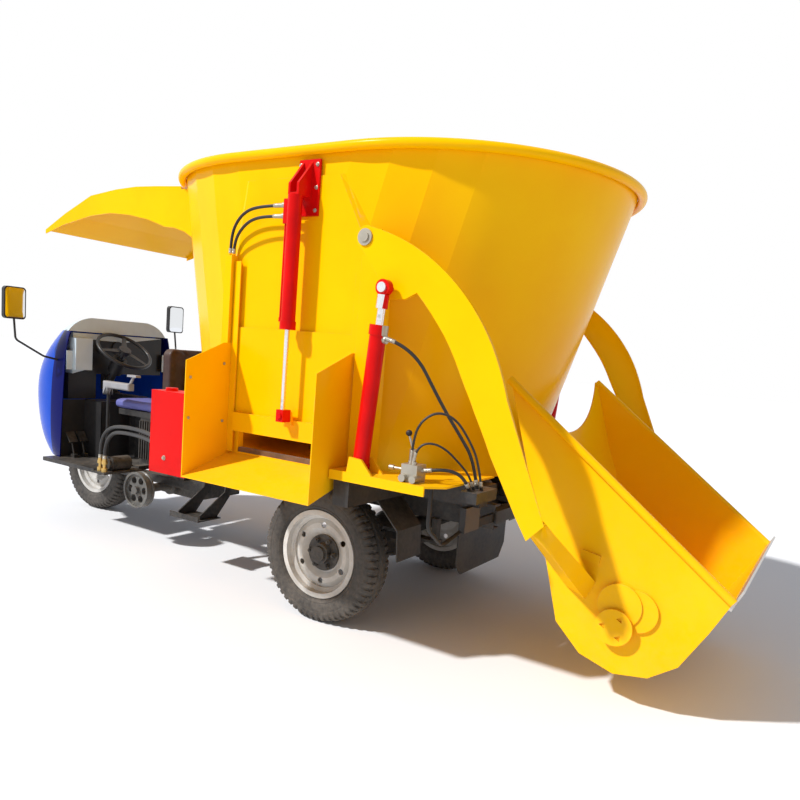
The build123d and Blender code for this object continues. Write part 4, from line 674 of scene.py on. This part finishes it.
# Each hose: its name, diameter and length, and the points of its route, in metres.
HOSES = (
    ("door_hose_upper", 0.014, 0.437, (
        (-0.4868, 0.9443, 1.962), (-0.3897, 0.943, 1.963), (-0.2898, 0.936, 1.949), (-0.2147, 0.922, 1.902),
        (-0.1708, 0.906, 1.836), (-0.1608, 0.8957, 1.766))),
    ("door_hose_lower", 0.014, 0.375, (
        (-0.4868, 0.9443, 1.916), (-0.3997, 0.945, 1.918), (-0.3147, 0.94, 1.902), (-0.2447, 0.926, 1.862),
        (-0.1968, 0.908, 1.812), (-0.1817, 0.8957, 1.766))),
    ("lift_hose", 0.014, 0.706, (
        (-1.1703, 1.0053, 1.4087), (-1.2203, 0.996, 1.3947), (-1.2868, 0.959, 1.335), (-1.3268, 0.919, 1.245),
        (-1.3727, 0.879, 1.15), (-1.4298, 0.834, 1.05), (-1.4768, 0.794, 0.96), (-1.4888, 0.769, 0.856))),
    ("valve_hose_long", 0.010, 0.599, (
        (-1.3048, 0.994, 0.966), (-1.3068, 0.994, 1.04), (-1.3297, 0.984, 1.108), (-1.3847, 0.954, 1.15),
        (-1.4447, 0.914, 1.125), (-1.4848, 0.869, 1.05), (-1.5148, 0.824, 0.96), (-1.5197, 0.789, 0.856))),
    ("valve_hose_short", 0.009, 0.374, (
        (-1.3288, 1.012, 0.962), (-1.3368, 1.01, 1.006), (-1.3798, 0.991, 1.03), (-1.4267, 0.951, 1.01),
        (-1.4627, 0.896, 0.956), (-1.4888, 0.839, 0.9), (-1.4948, 0.816, 0.856))),
    ("valve_hose_thick", 0.014, 0.215, (
        (-1.3687, 0.979, 0.916), (-1.4107, 0.97, 0.924), (-1.4547, 0.932, 0.924), (-1.4868, 0.888, 0.898),
        (-1.4928, 0.852, 0.856))),
    ("tank_hose_upper", 0.024, 1.071, (
        (1.2902, 0.524, 0.545), (1.2893, 0.524, 0.632), (1.2532, 0.528, 0.706), (1.1752, 0.536, 0.756),
        (1.0553, 0.554, 0.776), (0.9153, 0.584, 0.784), (0.7652, 0.626, 0.788), (0.6152, 0.682, 0.788),
        (0.4953, 0.734, 0.786), (0.4042, 0.776, 0.778))),
    ("tank_hose_lower", 0.024, 0.993, (
        (1.2332, 0.534, 0.545), (1.2323, 0.534, 0.617), (1.1992, 0.536, 0.684), (1.1382, 0.542, 0.727),
        (1.0402, 0.558, 0.741), (0.9153, 0.582, 0.748), (0.7752, 0.622, 0.752), (0.6352, 0.672, 0.752),
        (0.5052, 0.731, 0.748), (0.4042, 0.776, 0.738))),
)
collars = []
for name, diameter, length, route in HOSES:
    line = bpy.data.curves.new(name + "_line", "CURVE")
    line.dimensions = "3D"
    line.bevel_depth = diameter / 2
    line.bevel_resolution = 6
    line.resolution_u = 12
    line.use_fill_caps = True
    line.materials.append(hose_rubber)
    spline = line.splines.new("NURBS")
    spline.points.add(len(route) - 1)
    spline.points.foreach_set("co", np.column_stack([route, np.ones(len(route))]).ravel())
    spline.order_u = 3
    spline.use_endpoint_u = True
    rubber = bpy.data.objects.new(name + "_rubber", line)
    bpy.context.scene.collection.objects.link(rubber)
    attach(rubber, "chassis")
    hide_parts(name)
    for end, inner in ((0, 1), (-1, -2)):
        collars.append(turned(route[end], route[inner], crimped(diameter)))
hose_collars = gather("hose_collars", plated, "chassis", collars)

black_plastic = painted_steel("black_plastic", (0.012, 0.012, 0.013), (0.020, 0.019, 0.020),
                              (0.07, 0.07, 0.07), 0.3, (0.08, 0.05, 0.0), gloss=0.42, peel=0.3, scale=9.0)
part_dress("control_valve", (plated, everywhere), (black_plastic, lambda x, y, z: z > LEVER_Z))
brass = rubbed_steel("brass", (0.62, 0.42, 0.14), 0.35)
part_dress("hydraulic_pump", (cast_iron, everywhere),
           (brass, lambda x, y, z: (y > PUMP_FITTING[0]) & (z > PUMP_FITTING[1])))


# The cab: a blue fibreglass cowl with painted shade along its rear edge, a navy
# band that stands in for the shade on the cowl's rear flange, a pale grey moulded
# top and dashboard, a black plastic steering wheel and column. Black painted
# sheet closes the cowl's rear opening, and boxes in the front wheel's turn.

# Where the navy band of painted shade starts on the cowl, towards its rear, and how soft its edge is.
SHADE_BAND_X = 1.992
SHADE_BAND_FADE = 0.002
DASH_TOP, DASH_BACK = 1.29, 1.8853
DASH_WING = (0.20, 1.045)
SLEEVE_Z = 0.955
TUNNEL_X = (1.703, 1.893)
TUNNEL_Y = (-0.344, 0.232)
PANEL_Z = (0.4566, 0.8590)
SHEET = 0.003
# The cowl's inside at three heights: the height, and how far it is from the machine's middle.
COWL_INSIDE = ((0.4566, 0.466), (0.650, 0.463), (0.859, 0.456))


def painted_shade_band(made, limit, colour):
    """Paints a narrow band of painted shade, in another colour, on a paint, on the side of a plane across the
    machine.
    """
    tree = made.node_tree
    shader = tree.nodes["Principled BSDF"]
    along = node(tree, "SeparateXYZ", {0: node(tree, "TexCoord").outputs["Object"]}).outputs["X"]
    painted_shade = ranged(tree, along, limit + SHADE_BAND_FADE, limit)
    fill(tree, shader, {"Base Color": blended(tree, painted_shade, shader.inputs["Base Color"].links[0].from_socket,
                                              colour)})


blue_gel = painted_steel("blue_gel_coat", (0.004, 0.070, 0.52), (0.003, 0.055, 0.43), (0.05, 0.10, 0.30),
                         0.25, (0.02, 0.03, 0.0), gloss=0.20, scale=4.0, coat=0.0, specular=0.12)
# Painted shade: the navy band on the cowl's rear edge stands in for the shade on its rear flange.
painted_shade_band(blue_gel, SHADE_BAND_X, (0.003, 0.006, 0.10))
pale_mould = painted_steel("pale_grey_moulding", (0.56, 0.65, 0.70), (0.50, 0.58, 0.63),
                           (0.42, 0.42, 0.41), 0.1, (0.02, 0.0, 0.0), gloss=0.45, scale=6.0)
grey_sleeve = painted_steel("grey_sleeve", (0.34, 0.34, 0.36), (0.27, 0.27, 0.28), (0.5, 0.5, 0.5), 0.2,
                            (0.1, 0.0, 0.02), gloss=0.5, peel=0.4, scale=9.0)
dress(blue_gel, "cowl")
dress(pale_mould, "cowl_top")
dress(chassis_black, "cab_floor", "foot_pedals")
dress(black_plastic, "steering_wheel", "steering_column", "mirrors")
part_dress("dashboard", (black_plastic, everywhere),
           (pale_mould, lambda x, y, z: (z > DASH_TOP) | (x < DASH_BACK)
            | ((y > DASH_WING[0]) & (z > DASH_WING[1]))))
part_dress("control_stand", (black_plastic, everywhere), (grey_sleeve, lambda x, y, z: z > SLEEVE_Z))

panels = [slab(TUNNEL_X[0], TUNNEL_X[0] + SHEET, *TUNNEL_Y, *PANEL_Z),
          slab(*TUNNEL_X, *TUNNEL_Y, PANEL_Z[1] - SHEET, PANEL_Z[1])]
for y in (TUNNEL_Y[0], TUNNEL_Y[1] - SHEET):
    panels.append(slab(*TUNNEL_X, y, y + SHEET, *PANEL_Z))
for side, wall in ((1, TUNNEL_Y[1]), (-1, TUNNEL_Y[0])):
    for (low, wide), (high, narrow) in zip(COWL_INSIDE, COWL_INSIDE[1:]):
        corners = [(wall, low), (side * wide + MIDDLE_Y, low), (side * narrow + MIDDLE_Y, high), (wall, high)]
        panels.append(block([(x, y, z) for x in (TUNNEL_X[1], TUNNEL_X[1] + SHEET) for y, z in corners]))
gather("inner_panels", black_plastic, "chassis", panels)


# Glass and lenses: the mirrors' silvered glass in black shells, the head lamp's
# clear cover and the tail lamps' dark grey ones.

MIRROR_X, MIRROR_OUT, MIRROR_HALF = 2.1031, 0.685, 0.067
MIRROR_Z = (1.393, 1.592)
MIRROR_CORNER, GLASS_THICK = 0.022, 0.0012
HEAD_LAMP_X, TAIL_LAMP_X = 2.4955, -1.3940


def lens_finish(name, colour, rough, metallic):
    """A lamp cover or a mirror: one even colour under a clear, glossy face, a little smeared."""
    made, tree, shader, place = finish_of(name, metallic=metallic, coat=0.6, coat_roughness=0.03)
    smeared = ranged(tree, noise(tree, place, 14.0, 4.0), 0.0, 1.0, rough, rough + 0.12)
    fill(tree, shader, {"Base Color": colour, "Roughness": smeared})
    return made


def rounded_plate(x, y0, y1, z0, z1, corner, thick):
    """A thin upright plate across the machine, its outline four quarter turns, its shown rear face a little
    crowned by two rings that draw in towards the middle."""
    turn = np.linspace(0, np.pi / 2, 7)
    corners = ((y1 - corner, z1 - corner), (y0 + corner, z1 - corner), (y0 + corner, z0 + corner),
               (y1 - corner, z0 + corner))
    rim = np.concatenate([np.column_stack([y + corner * np.cos(turn + k * np.pi / 2),
                                           z + corner * np.sin(turn + k * np.pi / 2)])
                          for k, (y, z) in enumerate(corners)])
    middle = rim.mean(axis=0)
    rings = ((0.0, 1.0), (thick, 1.0), (thick * 1.3, 0.97), (thick * 1.9, 0.6))
    points = np.concatenate([np.column_stack([np.full(len(rim), x - rise), middle + (rim - middle) * scale])
                             for rise, scale in rings])
    return points, [group[:, ::-1] for group in rings_joined(len(rings), len(rim))]


silvered = lens_finish("silvered_glass", (0.80, 0.82, 0.84), 0.02, 1.0)
clear_cover = lens_finish("clear_cover", (0.72, 0.74, 0.76), 0.06, 0.4)
# The tail lamps' covers are one even dark grey.
dark_grey_cover = lens_finish("dark_grey_cover", (0.085, 0.080, 0.084), 0.30, 0.0)
part_dress("lamps", (black_plastic, everywhere), (clear_cover, lambda x, y, z: x > HEAD_LAMP_X),
           (dark_grey_cover, lambda x, y, z: x < TAIL_LAMP_X))
gather("mirror_glass", silvered, "chassis",
       [rounded_plate(MIRROR_X, side * MIRROR_OUT + MIDDLE_Y - MIRROR_HALF,
                      side * MIRROR_OUT + MIDDLE_Y + MIRROR_HALF, *MIRROR_Z, MIRROR_CORNER, GLASS_THICK)
        for side in (1, -1)], 20)


# The seat: foam under stretched vinyl on a black frame, its cushion blue-violet
# and its back brown. Each pad is crowned by its stuffing: it is blown up as
# cloth from the plain solid.

PAD_INSET, PAD_CAP = 0.010, 0.010
PAD_VOXEL = 0.007
PAD_PRESSURE = 4.0
LAST_FRAME = 20


def stuffed(node_name, name, finish):
    """A pad made from a plain CAD solid: drawn in evenly, remeshed, blown up as weightless cloth over twenty
    frames, each point's travel capped, then smoothed by one subdivision."""
    mesh = nodes[node_name].data.copy()
    made = bpy.data.objects.new(name, mesh)
    bpy.context.scene.collection.objects.link(made)
    low, high = (np.array(corner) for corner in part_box(node_name))
    middle, half = (low + high) / 2, (high - low) / 2
    at = np.empty(len(mesh.vertices) * 3)
    mesh.vertices.foreach_get("co", at)
    drawn = middle + (at.reshape(-1, 3) - middle) * (half - PAD_INSET) / half
    mesh.vertices.foreach_set("co", drawn.ravel())
    bpy.context.view_layer.objects.active = made
    remesh = made.modifiers.new("even", "REMESH")
    remesh.mode = "VOXEL"
    remesh.voxel_size = PAD_VOXEL
    bpy.ops.object.modifier_apply(modifier="even")
    before = np.empty(len(made.data.vertices) * 3)
    made.data.vertices.foreach_get("co", before)
    cloth = made.modifiers.new("vinyl", "CLOTH")
    cloth.settings.use_pressure = True
    cloth.settings.uniform_pressure_force = PAD_PRESSURE
    cloth.settings.effector_weights.gravity = 0
    cloth.point_cache.frame_start, cloth.point_cache.frame_end = 1, LAST_FRAME
    for frame_number in range(1, LAST_FRAME + 1):
        bpy.context.scene.frame_set(frame_number)
    bpy.ops.object.modifier_apply(modifier="vinyl")
    after = np.empty_like(before)
    made.data.vertices.foreach_get("co", after)
    travel = (after - before).reshape(-1, 3)
    far = np.linalg.norm(travel, axis=1, keepdims=True)
    travel *= np.minimum(1.0, PAD_CAP / np.maximum(far, 1e-9))
    made.data.vertices.foreach_set("co", (before.reshape(-1, 3) + travel).ravel())
    bpy.context.scene.frame_set(1)
    made.data.shade_smooth()
    finer = made.modifiers.new("finer", "SUBSURF")
    finer.levels = finer.render_levels = 1
    made.data.materials.clear()
    made.data.materials.append(finish)
    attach(made, "chassis")
    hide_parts(node_name)
    return made


dress(chassis_black, "seat_frame")
seat_vinyl = painted_steel("seat_vinyl", (0.15, 0.16, 0.46), (0.12, 0.13, 0.38), (0.2, 0.2, 0.2), 0.2,
                           (0.03, 0.0, 0.02), gloss=0.5, peel=0.5, scale=9.0)
brown_vinyl = painted_steel("brown_vinyl", (0.040, 0.013, 0.010), (0.026, 0.009, 0.007), (0.2, 0.15, 0.1),
                            0.2, (0.2, 0.0, 0.05), gloss=0.45, peel=0.5, scale=9.0)
stuffed("seat_cushion", "cushion_pad", seat_vinyl)
stuffed("seat_back", "back_pad", brown_vinyl)
